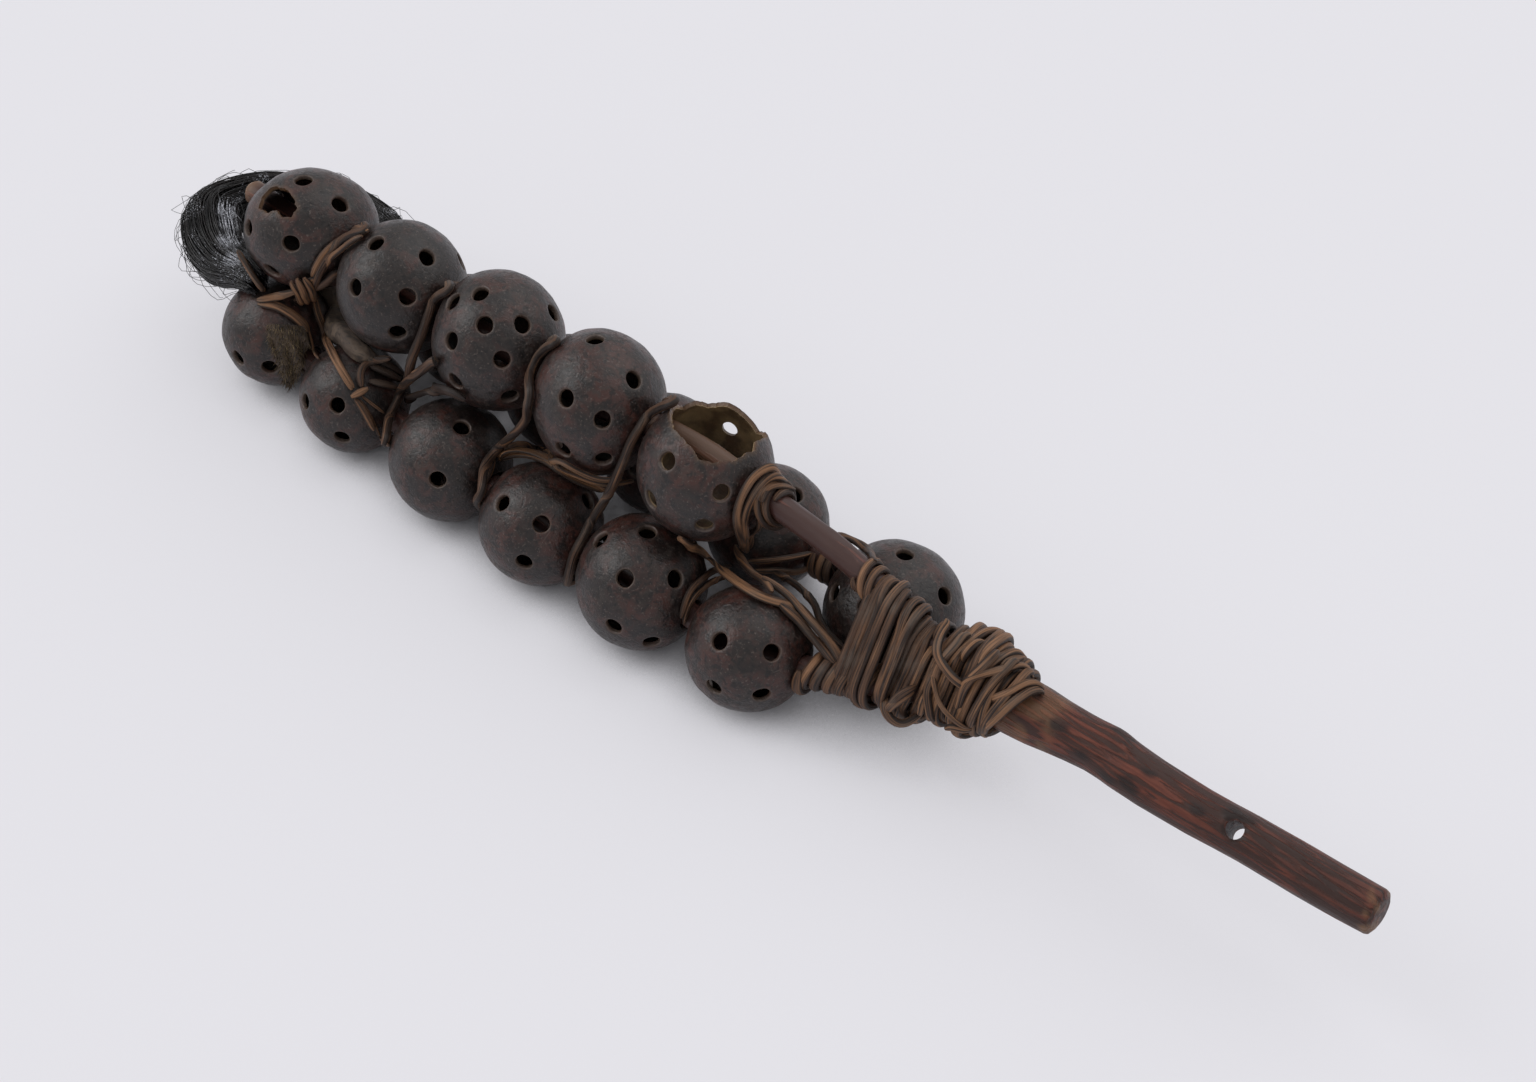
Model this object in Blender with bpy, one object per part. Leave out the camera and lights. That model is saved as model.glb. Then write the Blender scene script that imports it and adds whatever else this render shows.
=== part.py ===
"""Seed shell rattle.

Pierced fruit shells are threaded on three sticks and lie in stations of three: a front and a rear shell
with a top shell resting on both. Fibre ties hold the sticks together in the grooves between the shells, and
two lashings bind the stick ends round the inner end of a wooden handle. A hank of hair is bent round the tip.

Lengths are metres. +X runs from the hair to the handle, +Z is up and the front row lies towards -Y.
Directions on a shell are two angles in degrees: along, from +X, and turn, about X from straight up towards
the front.
"""

import math
from dataclasses import dataclass

import bmesh
import bpy
from mathutils import Quaternion, Vector

# Shells of each row, from the hair to the handle
TOP_DIAMETERS = (0.0505, 0.0515, 0.0525, 0.0535, 0.0525)
FRONT_DIAMETERS = (0.0460, 0.0465, 0.0490, 0.0495, 0.0510, 0.0485)
REAR_DIAMETERS = (0.0470, 0.0480, 0.0480, 0.0490, 0.0485, 0.0535)
SHELL_WALL = 0.0018
STRING_GAP = 0.0005
ROW_CLEARANCE = 0.0009
ROW_GAPS = (0.0020, 0.0070, 0.0060, 0.0070, 0.0035, 0.0020)
FRONT_SLIP = -0.0030
REAR_SLIP = 0.0080
LAST_FRONT_GAP = 0.0010
LAST_REAR_GAP = 0.0135
LAST_REAR_INSET = 0.0035

# Holes drilled in the shells, as directions on the side that shows
HOLE_DIAMETER = 0.0070
HOLE_SIDES = 6
FILLER_SPACING = 24
FILLER_CANDIDATES = 120
SHOWN_HOLES = {
    "top_1": ((94, -3), (54, -10), (64, 59), (82, 100), (115, 67)),
    "top_2": ((101, 14), (58, -9), (95, 57), (47, 40), (48, 89), (56, -68)),
    "top_3": ((97, 10), (118, 28), (75, 30), (51, 5), (97, 57), (48, 50), (86, 91), (38, 104), (51, -48)),
    "top_4": ((100, -9), (87, 47), (51, -8), (51, 48), (80, 93), (44, 98)),
    "top_5": ((95, 46), (42, 48), (101, 87), (50, 95), (109, -96)),
    "front_1": ((90, 88), (52, 88)),
    "front_2": ((68, 50), (58, 92), (110, 68)),
    "front_3": ((72, -3), (61, 57)),
    "front_4": ((105, 35), (60, 31), (62, 79), (51, -38)),
    "front_5": ((77, 37), (89, -9), (123, 20), (42, 3), (73, 85), (41, 108)),
    "front_6": ((92, 41), (46, 20), (83, 87), (38, 85)),
    "rear_5": ((66, -12),),
    "rear_6": ((93, -15), (46, -19), (127, 50), (89, 43)),
}

# The other sides are drilled wherever a hole keeps its angle from the others and from what touches the shell
UNSEEN_HOLE_SPACING = 50
TOUCH_SPACING = 22
HOLE_CANDIDATES = 90
SHOWN_SIDE = Vector((0.43, -0.50, 0.75))
SHOWN_LIMIT = -0.05
NEIGHBOUR_REACH = 1.1

# Broken places: the rim of the open top shell and of the ragged hole in the first one
BROKEN_RIMS = {
    "top_1": ((82, 20), (90, 14), (101, 13), (110, 22), (109, 36), (101, 45), (90, 43), (83, 33)),
    "top_5": ((124, 7), (120, -24), (98, -46), (79, -60), (61, -68), (49, -45), (48, -10),
              (52, 14), (70, 29), (84, 26), (106, 20)),
}

# Loose seeds, larger than the holes so that they stay in
SEED_DIAMETER = 0.0095
SEED_STATIONS = 36

# Sticks, and how they draw together from the last shells to the handle
STICK_DIAMETER = 0.0100
STICK_END_DIAMETER = 0.0060
STICK_TIP = 0.0080
STICK_OVERLAP = 0.0290
STICK_SPREAD = 0.72
STICK_STEP = 0.0170
SEAT_POINTS = 4
BORE_CLEARANCE = 0.0004
BORE_SIDES = 8

# Handle: a stick with knots, thinner towards its butt, drilled for a hanging cord
HANDLE_LENGTH = 0.1850
HANDLE_SETBACK = 0.0050
HANDLE_TIP_DIAMETER = 0.0070
HANDLE_NECK_DIAMETER = 0.0205
HANDLE_WAIST_DIAMETER = 0.0180
HANDLE_BUTT_DIAMETER = 0.0165
HANDLE_TAPER = 0.0380
HANDLE_RISE = 3.3
HANDLE_SWING = 2.8
HANDLE_BEND = 0.0020
HANDLE_SIDES = 14
HANDLE_RINGS = 20
BUTT_CHAMFER = 0.0012
HANG_HOLE_DIAMETER = 0.0066
HANG_HOLE_SETBACK = 0.0560
HANG_HOLE_LEAN = 30
HANG_HOLE_SIDES = 10

# Knots of the handle: distance from the butt, turn, height, half length, half width in degrees
HANDLE_KNOTS = (
    (0.1180, -40, 0.0022, 0.0080, 50),
    (0.1060, 120, 0.0024, 0.0075, 45),
    (0.0470, 130, 0.0014, 0.0100, 60),
)

# Split fibre of the ties and lashings
FIBRE_DIAMETER = 0.0036
FIBRE_PITCH = 0.0046
LASHING_TURNS = 8
LASHING_SETBACK = 0.0040
END_SLOPE_TURNS = 3
LAYER_CLEARANCE = 0.0016
CROSS_TURNS = 2
CROSS_PITCH = 0.0130
CROSS_FIRST_TURN = 200
COLLAR_TURNS = 3
COLLAR_FIRST_TURN = 180
REAR_TIE_TURNS = 2
KNOT_TURNS = 3
KNOT_HOLLOW = 0.0014
LOOP_POINTS = 24
SMALL_LOOP_POINTS = 12
TIE_START = -40
TIE_SWEEP = 330
CROSS_STRAP = (("front_5", 60, -25), ("front_6", 122, -28), ("front_6", 100, -27), ("front_6", 76, -34),
               ("front_6", 52, -42))
FRONT_STRAP = (("front_4", 140, -6), ("front_4", 115, -20), ("front_4", 88, -22), ("front_4", 64, -36))
TIP_STRAP = (("front_2", 122, 8), ("front_2", 100, 12), ("front_2", 78, 17), ("front_2", 54, 30))

# Tail tied in at the tip: hair hank, rolled hide dock and a tag of hide
HAIR_REACH = 0.0420
HAIR_HALF_WIDTH = 0.0390
HAIR_HEIGHT = 0.0080
HAIR_DIAMETER = 0.0190
HAIR_END_DIAMETER = 0.0090
HAIR_START = -79
HAIR_STOP = 92
HAIR_RINGS = 16
DOCK_DIAMETER = 0.0080
DOCK_SQUEEZED = 0.0060
TAG_DIAMETER = 0.0080
TAG_END_DIAMETER = 0.0050
TAG_TURNS = (55, 80, 105, 130)
FRONT_OFFSET = 0.0100

# Gap between pieces that touch, and the least gap allowed between the turns of one winding
FIT = 0.0004
LEAST_TURN_GAP = 0.0004

# Rounds in which a soft strand is pushed off the shells, and the sides of the tubes
SETTLE_ROUNDS = 30
TUBE_SIDES = 8
FIBRE_SIDES = 6

# The sticks run down to the handle at up to this slope, and are so much thicker in a section across X
STICK_SLOPE = 0.35
SLANT_ALLOWANCE = math.sqrt(1 + STICK_SLOPE ** 2)


@dataclass
class Bore:
    """Hole for a stick: its direction from the shell's centre, and the stick's slant to that direction."""

    outward: Vector
    tilt: float

    def radius(self):
        """Radius to the corners of the bore, which the stick passes with its clearance."""
        flat = STICK_DIAMETER / 2 / math.cos(self.tilt) + SHELL_WALL * math.tan(self.tilt) + BORE_CLEARANCE
        return flat / math.cos(math.pi / BORE_SIDES)


@dataclass
class Shell:
    """One fruit shell: its place, size and the bores of its stick."""

    name: str
    centre: Vector
    radius: float
    bores: tuple = ()

    def over(self, along, turn, lift):
        """Point above the surface in a direction given by its two angles."""
        return self.centre + direction(along, turn) * (self.radius + lift)


def direction(along, turn):
    """Unit vector of the two angles, in degrees."""
    a = math.radians(along)
    t = math.radians(turn)
    return Vector((math.cos(a), -math.sin(a) * math.sin(t), math.sin(a) * math.cos(t)))


def clear_scene():
    """Remove every object that is in the file."""
    for item in list(bpy.data.objects):
        bpy.data.objects.remove(item, do_unlink=True)


def make_material(name, colour, roughness):
    """Principled material of one piece."""
    material = bpy.data.materials.new(name)
    material.use_nodes = True
    shader = material.node_tree.nodes["Principled BSDF"]
    shader.inputs["Base Color"].default_value = (*colour, 1.0)
    shader.inputs["Roughness"].default_value = roughness
    shader.inputs["Metallic"].default_value = 0.0
    return material


SHELL_LOOK = ((0.045, 0.035, 0.031), 0.5)
SEED_LOOK = ((0.09, 0.05, 0.03), 0.6)
STICK_LOOK = ((0.08, 0.04, 0.03), 0.55)
HANDLE_LOOK = ((0.10, 0.035, 0.02), 0.5)
FIBRE_LOOK = ((0.18, 0.09, 0.045), 0.6)
HAIR_LOOK = ((0.008, 0.008, 0.010), 0.4)
HIDE_LOOK = ((0.07, 0.05, 0.035), 0.8)


def add_object(name, data, look, parent):
    """Link one named piece with a material of its own."""
    piece = bpy.data.objects.new(name, data)
    bpy.context.scene.collection.objects.link(piece)
    data.materials.append(make_material(name, *look))
    piece.parent = parent
    return piece


def add_empty(name, parent=None):
    """Link an empty that carries pieces."""
    empty = bpy.data.objects.new(name, None)
    bpy.context.scene.collection.objects.link(empty)
    empty.parent = parent
    return empty


def add_mesh(name, bm, look, parent, sharp_angle=40):
    """Turn a bmesh into a smooth-shaded piece."""
    mesh = bpy.data.meshes.new(name)
    bm.to_mesh(mesh)
    bm.free()
    mesh.shade_smooth()
    mesh.set_sharp_from_angle(angle=math.radians(sharp_angle))
    return add_object(name, mesh, look, parent)


def add_tube(name, points, radii, look, parent, sides):
    """Closed tube along points, with a radius at each."""
    curve = bpy.data.curves.new(name, "CURVE")
    curve.dimensions = "3D"
    curve.bevel_depth = max(radii)
    curve.bevel_resolution = (sides - 4) // 2
    curve.use_fill_caps = True
    spline = curve.splines.new("POLY")
    spline.points.add(len(points) - 1)
    for slot, point, radius in zip(spline.points, points, radii):
        slot.co = (*point, 1.0)
        slot.radius = radius / curve.bevel_depth
    return add_object(name, curve, look, parent)


def smooth_path(points, step):
    """Points of a smooth curve through the given ones, about one step apart."""
    ends = [points[0] * 2 - points[1], *points, points[-1] * 2 - points[-2]]
    path = []
    for i in range(1, len(ends) - 2):
        before, start, stop, after = ends[i - 1:i + 3]
        pieces = max(1, round((stop - start).length / step))
        for k in range(pieces):
            t = k / pieces
            drift = (stop - before) * t
            ease = (before * 2 - start * 5 + stop * 4 - after) * t * t
            turn = (start * 3 - before - stop * 3 + after) * t * t * t
            path.append(start + (drift + ease + turn) * 0.5)
    path.append(points[-1].copy())
    return path


def point_at(path, x):
    """Point at x of a path that runs towards +X, or its nearest end."""
    for start, stop in zip(path, path[1:]):
        if start.x <= x <= stop.x:
            return start.lerp(stop, (x - start.x) / (stop.x - start.x))
    return (path[0] if x < path[0].x else path[-1]).copy()


def lay_out_shells():
    """Stations of three shells in contact, with one more front and rear shell next to the handle."""
    places = [0.0]
    for first, second in zip(TOP_DIAMETERS[-2::-1], TOP_DIAMETERS[:0:-1]):
        places.insert(0, places[0] - (first + second) / 2 - STRING_GAP)
    shells = {}
    for i, x in enumerate(places):
        front = FRONT_DIAMETERS[i] / 2
        rear = REAR_DIAMETERS[i] / 2
        top = TOP_DIAMETERS[i] / 2
        low = Vector((x + FRONT_SLIP, -front - ROW_GAPS[i] / 2, front))
        far = Vector((x + REAR_SLIP, rear + ROW_GAPS[i] / 2, rear))
        y, z = resting_place(low, front, far, rear, top)
        number = i + 1
        shells[f"front_{number}"] = Shell(f"front_{number}", low, front)
        shells[f"rear_{number}"] = Shell(f"rear_{number}", far, rear)
        shells[f"top_{number}"] = Shell(f"top_{number}", Vector((x, y, z)), top)
    front = FRONT_DIAMETERS[-1] / 2
    before = shells["front_5"]
    x = before.centre.x + before.radius + LAST_FRONT_GAP + front
    shells["front_6"] = Shell("front_6", Vector((x, -front - ROW_GAPS[-1] / 2, front)), front)
    rear = REAR_DIAMETERS[-1] / 2
    before = shells["rear_5"]
    x = before.centre.x + before.radius + LAST_REAR_GAP + rear
    y = rear + ROW_GAPS[-1] / 2 - LAST_REAR_INSET
    shells["rear_6"] = Shell("rear_6", Vector((x, y, rear)), rear)
    return shells


def resting_place(low, front, far, rear, top):
    """Height and depth at which a top shell lies on a front and a rear one."""
    across = Vector((far.y - low.y, far.z - low.z))
    span = across.length
    to_front = top + front + ROW_CLEARANCE
    to_rear = top + rear + ROW_CLEARANCE
    shift = (to_front ** 2 - to_rear ** 2 + span ** 2) / (2 * span)
    rise = math.sqrt(to_front ** 2 - shift ** 2)
    unit = across / span
    return low.y + unit.x * shift - unit.y * rise, low.z + unit.y * shift + unit.x * rise


class Handle:
    """Axis and thickness of the handle, which the sticks and lashings fit round."""

    def __init__(self, shells):
        last = [shells["top_5"], shells["front_6"], shells["rear_6"]]
        middle = sum((shell.centre for shell in last), Vector()) / len(last)
        inner_x = max(shell.centre.x + shell.radius for shell in last) + HANDLE_SETBACK
        self.inner = Vector((inner_x, middle.y, middle.z))
        self.slope_y = math.tan(math.radians(HANDLE_SWING))
        self.slope_z = math.tan(math.radians(HANDLE_RISE))

    def axis(self, x):
        """Point of the axis at x, sagging a little between neck and butt."""
        run = x - self.inner.x
        share = min(max((run - HANDLE_TAPER) / (HANDLE_LENGTH - HANDLE_TAPER), 0), 1)
        sag = HANDLE_BEND * math.sin(math.pi * share)
        return Vector((x, self.inner.y + run * self.slope_y, self.inner.z + run * self.slope_z - sag))

    def radius(self, x):
        """Radius at x without knots: a whittled tip, then a slow taper to the butt."""
        run = x - self.inner.x
        if run < HANDLE_TAPER:
            t = max(run, 0.0) / HANDLE_TAPER
            ease = t * t * (3 - 2 * t)
            return (HANDLE_TIP_DIAMETER + (HANDLE_NECK_DIAMETER - HANDLE_TIP_DIAMETER) * ease) / 2
        t = (run - HANDLE_TAPER) / (HANDLE_LENGTH - HANDLE_TAPER)
        if t < 0.5:
            return (HANDLE_NECK_DIAMETER + (HANDLE_WAIST_DIAMETER - HANDLE_NECK_DIAMETER) * t * 2) / 2
        return (HANDLE_WAIST_DIAMETER + (HANDLE_BUTT_DIAMETER - HANDLE_WAIST_DIAMETER) * (t * 2 - 1)) / 2

    def knot_height(self, x, turn):
        """How far the knots stand out at x and at a turn in degrees."""
        from_butt = self.inner.x + HANDLE_LENGTH - x
        height = 0.0
        for place, knot_turn, rise, half_length, half_width in HANDLE_KNOTS:
            off = (turn - knot_turn + 180) % 360 - 180
            height += rise * math.exp(-((from_butt - place) / half_length) ** 2 - (off / half_width) ** 2)
        return height


SEAT_TURNS = {"top": 0, "front": 120, "rear": -120}
ROW_COUNTS = {"top": len(TOP_DIAMETERS), "front": len(FRONT_DIAMETERS), "rear": len(REAR_DIAMETERS)}


class Stick:
    """Path of one stick: through its shells, then down onto the handle's whittled tip."""

    def __init__(self, row, shells, handle, lashing_start):
        self.threaded = [shells[f"{row}_{i + 1}"] for i in range(ROW_COUNTS[row])]
        centres = [shell.centre for shell in self.threaded]
        lead = (centres[0] - centres[1]).normalized()
        points = [centres[0] + lead * (self.threaded[0].radius + STICK_TIP), *centres]
        self.end = handle.inner.x + STICK_OVERLAP
        last = centres[-1]
        if last.x + self.threaded[-1].radius < lashing_start:
            offset = last - handle.axis(last.x)
            points.append(handle.axis(lashing_start) + offset * STICK_SPREAD)
        seat_start = handle.inner.x + HANDLE_SETBACK
        for k in range(SEAT_POINTS):
            x = seat_start + (self.end - seat_start) * k / (SEAT_POINTS - 1)
            reach = (handle.radius(x) + self.radius(x)) * SLANT_ALLOWANCE + FIT
            points.append(handle.axis(x) + direction(90, SEAT_TURNS[row]) * reach)
        self.path = smooth_path(points, STICK_STEP)
        for shell in self.threaded:
            shell.bores = self.crossings(shell)

    def radius(self, x):
        """Radius at x, whittled thinner over the stretch that lies on the handle."""
        t = min(max((x - self.end + STICK_OVERLAP) / STICK_OVERLAP, 0.0), 1.0)
        return (STICK_DIAMETER + (STICK_END_DIAMETER - STICK_DIAMETER) * t) / 2

    def at(self, x):
        """Point of the path at x."""
        return point_at(self.path, x)

    def crossings(self, shell):
        """Bores where the path enters and leaves a shell."""
        found = []
        for start, stop in zip(self.path, self.path[1:]):
            inside = [(point - shell.centre).length - shell.radius for point in (start, stop)]
            if inside[0] * inside[1] < 0:
                point = start.lerp(stop, inside[0] / (inside[0] - inside[1]))
                outward = (point - shell.centre).normalized()
                tilt = outward.angle(stop - start)
                found.append(Bore(outward, min(tilt, math.pi - tilt)))
        return tuple(found)

    def build(self, name, parent):
        """Make the stick."""
        radii = [self.radius(point.x) for point in self.path]
        add_tube(name, self.path, radii, STICK_LOOK, parent, TUBE_SIDES)


def ring_directions(centre, angle, sides, phase=0.0):
    """Directions of a polygon drawn round a centre direction at an angle from it, in radians."""
    side = centre.cross(Vector((0, 0, 1)) if abs(centre.z) < 0.9 else Vector((1, 0, 0))).normalized()
    up = centre.cross(side)
    found = []
    for k in range(sides):
        t = phase + 2 * math.pi * k / sides
        found.append(centre * math.cos(angle) + (side * math.cos(t) + up * math.sin(t)) * math.sin(angle))
    return found


def even_directions(count):
    """Directions spread evenly over a sphere along a spiral."""
    golden = math.pi * (3 - math.sqrt(5))
    for k in range(count):
        z = 1 - (2 * k + 1) / count
        r = math.sqrt(1 - z * z)
        yield Vector((r * math.cos(golden * k), r * math.sin(golden * k), z))


def far_enough(candidate, others, degrees):
    """True where a direction keeps an angle from all the others."""
    limit = math.cos(math.radians(degrees))
    return all(candidate.dot(other) < limit for other in others)


def hole_centres(shell, touching):
    """Directions of a shell's drilled holes: those that show, and an even spread on the other sides."""
    holes = [direction(*angles) for angles in SHOWN_HOLES.get(shell.name, ())]
    bores = [bore.outward for bore in shell.bores]
    for candidate in even_directions(HOLE_CANDIDATES):
        hidden = shell.name not in SHOWN_HOLES or candidate.dot(SHOWN_SIDE) < SHOWN_LIMIT
        clear = far_enough(candidate, touching, TOUCH_SPACING)
        if hidden and clear and far_enough(candidate, holes + bores, UNSEEN_HOLE_SPACING):
            holes.append(candidate)
    return holes


def inside_rim(candidate, rim):
    """True where a direction lies within a broken rim, seen from the shell's centre."""
    middle = sum(rim, Vector()).normalized()
    if candidate.dot(middle) <= 0:
        return False
    side = middle.orthogonal().normalized()
    up = middle.cross(side)
    flat = [(p.dot(side) / p.dot(middle), p.dot(up) / p.dot(middle)) for p in rim]
    x, y = candidate.dot(side) / candidate.dot(middle), candidate.dot(up) / candidate.dot(middle)
    crossings = 0
    for (x0, y0), (x1, y1) in zip(flat, flat[1:] + flat[:1]):
        if (y0 > y) != (y1 > y) and x < x0 + (x1 - x0) * (y - y0) / (y1 - y0):
            crossings += 1
    return crossings % 2 == 1


def neighbours_of(shell, shells):
    """Shells that touch a shell, or nearly do."""
    found = []
    for other in shells.values():
        reach = (other.radius + shell.radius) * NEIGHBOUR_REACH
        if other is not shell and (other.centre - shell.centre).length < reach:
            found.append(other)
    return found


def build_shell(shell, neighbours, parent):
    """Make a shell: a hull of hole rims and filler points, opened at the holes and given its wall.

    Returns how far from the shell's centre its seed lies.
    """
    down = Vector((0, 0, -1))
    contacts = [(other.centre - shell.centre).normalized() for other in neighbours]
    broken = [direction(*angles) for angles in BROKEN_RIMS.get(shell.name, ())]
    hole_angle = math.asin(HOLE_DIAMETER / 2 / shell.radius)
    inner_radius = shell.radius - SHELL_WALL
    rims = []
    for bore in shell.bores:
        rims.append(ring_directions(bore.outward, math.asin(bore.radius() / inner_radius), BORE_SIDES))
    for hole in hole_centres(shell, [down, *contacts, *broken]):
        rims.append(ring_directions(hole, hole_angle, HOLE_SIDES))
    if broken:
        rims.append(broken)
    used = [point for rim in rims for point in rim]
    fillers = [down]
    for candidate in even_directions(FILLER_CANDIDATES):
        open_here = any(inside_rim(candidate, rim) for rim in rims)
        if not open_here and far_enough(candidate, used + fillers, FILLER_SPACING):
            fillers.append(candidate)
    bm = bmesh.new()
    rim_verts = [{bm.verts.new(point * shell.radius) for point in rim} for rim in rims]
    for point in fillers:
        bm.verts.new(point * shell.radius)
    bmesh.ops.convex_hull(bm, input=bm.verts[:])
    bmesh.ops.recalc_face_normals(bm, faces=bm.faces[:])
    drop = seed_drop(shell, bm.faces)
    cut = [face for face in bm.faces if any(set(face.verts) <= verts for verts in rim_verts)]
    bmesh.ops.delete(bm, geom=cut, context="FACES")
    add_wall(bm, 1 - SHELL_WALL / shell.radius)
    piece = add_mesh(f"shell_{shell.name}", bm, SHELL_LOOK, parent)
    piece.location = shell.centre
    return drop


def add_wall(bm, scale):
    """Close an open skin with a smaller copy of itself about the centre, and walls round its openings."""
    copy = bmesh.ops.duplicate(bm, geom=bm.verts[:] + bm.edges[:] + bm.faces[:])
    inner = copy["vert_map"]
    for edge in [edge for edge in copy["geom_orig"] if isinstance(edge, bmesh.types.BMEdge)]:
        if not edge.is_boundary:
            continue
        first, second = edge.verts
        bm.faces.new((first, second, inner[second], inner[first]))
    verts = [vert for vert in copy["geom"] if isinstance(vert, bmesh.types.BMVert)]
    bmesh.ops.scale(bm, vec=(scale,) * 3, verts=verts)
    bmesh.ops.recalc_face_normals(bm, faces=bm.faces[:])


def seed_drop(shell, faces):
    """Distance from the centre at which the seed clears the inner wall all the way round the stick."""
    axis = shell.bores[-1].outward - shell.bores[0].outward
    scale = 1 - SHELL_WALL / shell.radius
    room = []
    for k in range(SEED_STATIONS):
        way = Quaternion(axis, 2 * math.pi * k / SEED_STATIONS) @ Vector((0, 0, -1))
        for face in faces:
            facing = face.normal.dot(way)
            if facing > 0:
                wall = face.normal.dot(face.verts[0].co) * scale
                room.append((wall - SEED_DIAMETER / 2 - FIT) / facing)
    return min(room)


def build_seed(shell, drop, parent):
    """Make the loose seed of a shell, resting at its lowest place, on a pivot at the shell's centre."""
    pivot = add_empty(f"pivot_{shell.name}", parent)
    pivot.location = shell.centre
    bm = bmesh.new()
    bmesh.ops.create_icosphere(bm, subdivisions=2, radius=SEED_DIAMETER / 2)
    bmesh.ops.translate(bm, verts=bm.verts[:], vec=Vector((0, 0, -drop)))
    add_mesh(f"seed_{shell.name}", bm, SEED_LOOK, pivot)


def build_handle(handle, parent):
    """Loft the handle from rings across X, with a flat butt and a drilled hanging hole."""
    stop = handle.inner.x + HANDLE_LENGTH
    step = (HANDLE_LENGTH - BUTT_CHAMFER) / HANDLE_RINGS
    places = [handle.inner.x + step * k for k in range(HANDLE_RINGS + 1)]
    places.append(stop)
    bm = bmesh.new()
    rings = []
    for x in places:
        middle = handle.axis(x)
        ring = []
        for k in range(HANDLE_SIDES):
            turn = 360 * k / HANDLE_SIDES
            reach = handle.radius(x) + handle.knot_height(x, turn)
            if x == stop:
                reach -= BUTT_CHAMFER
            ring.append(bm.verts.new(middle + direction(90, turn) * reach))
        rings.append(ring)
    for first, second in zip(rings, rings[1:]):
        for k in range(HANDLE_SIDES):
            after = (k + 1) % HANDLE_SIDES
            bm.faces.new((first[k], second[k], second[after], first[after]))
    bm.faces.new(rings[0])
    bm.faces.new(rings[-1][::-1])
    bmesh.ops.recalc_face_normals(bm, faces=bm.faces[:])
    piece = add_mesh("handle", bm, HANDLE_LOOK, parent)
    cutter = bmesh.new()
    bmesh.ops.create_cone(cutter, cap_ends=True, segments=HANG_HOLE_SIDES, radius1=HANG_HOLE_DIAMETER / 2,
                          radius2=HANG_HOLE_DIAMETER / 2, depth=HANDLE_NECK_DIAMETER * 2)
    drill = add_mesh("hang_hole_drill", cutter, HANDLE_LOOK, parent)
    drill.location = handle.axis(stop - HANG_HOLE_SETBACK)
    drill.rotation_euler = (math.radians(HANG_HOLE_LEAN), 0, 0)
    drill.hide_render = True
    drill.display_type = "WIRE"
    hole = piece.modifiers.new("hang_hole", "BOOLEAN")
    hole.operation = "DIFFERENCE"
    hole.object = drill


def wound_path(circles_at, start, pitch, turns, per_turn, first_turn=0.0):
    """Points of a winding drawn tight round the circles that circles_at gives for each x."""
    points = []
    for k in range(round(turns * per_turn) + 1):
        x = start + pitch * k / per_turn
        way = direction(90, first_turn + 360 * k / per_turn)
        middle, reach = max(circles_at(x), key=lambda circle: circle[0].dot(way) + circle[1])
        points.append(Vector((x, middle.y, middle.z)) + way * reach)
    return points


def groove(first, second, stick, thickness):
    """Circle round the stick in which a strand lies between two shells: its middle and radius."""
    span = (second.centre - first.centre).length
    near = first.radius + thickness / 2 + FIT
    far = second.radius + thickness / 2 + FIT
    shift = (span ** 2 + near ** 2 - far ** 2) / (2 * span)
    x = first.centre.x + shift * (second.centre.x - first.centre.x) / span
    least = STICK_DIAMETER / 2 + thickness / 2 + FIT
    return stick.at(x), max(least, math.sqrt(max(near ** 2 - shift ** 2, 0.0)))


def groove_tie(station, shells, sticks):
    """Path of one tie round the three sticks, in the groove after a station."""
    circles = []
    for row, stick in sticks.items():
        first = shells[f"{row}_{station}"]
        second = shells[f"{row}_{station + 1}"]
        circles.append(groove(first, second, stick, FIBRE_DIAMETER))
    points = []
    step = 360 / LOOP_POINTS
    for k in range(round(TIE_SWEEP / step) + 1):
        way = direction(90, -(TIE_START + 90) - step * k)
        middle, reach = max(circles, key=lambda circle: circle[0].y * way.y + circle[0].z * way.z + circle[1])
        points.append(middle + way * reach)
    return points


def settle(points, radii, shells):
    """Push the points of a soft strand out of the shells until it lies on them."""
    settled = [point.copy() for point in points]
    for point, radius in zip(settled, radii):
        for _ in range(SETTLE_ROUNDS):
            for shell in shells.values():
                away = point - shell.centre
                short = shell.radius + radius + FIT - away.length
                if short > 0:
                    point += away.normalized() * short
    return settled


def least_turn_gap(name, points, diameter):
    """Print the least gap between the turns of a winding, measured on its points."""
    skip = SMALL_LOOP_POINTS // 2
    least = min((p - q).length for i, p in enumerate(points) for q in points[i + skip:]) - diameter
    print(f"{name}: least gap to itself {least * 1000:.2f} mm, wanted over {LEAST_TURN_GAP * 1000:.1f} mm")


def add_fibre(name, points, parent, wound=True):
    """Make one strand of split fibre."""
    add_tube(name, points, [FIBRE_DIAMETER / 2] * len(points), FIBRE_LOOK, parent, FIBRE_SIDES)
    if wound:
        least_turn_gap(name, points, FIBRE_DIAMETER)


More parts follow.
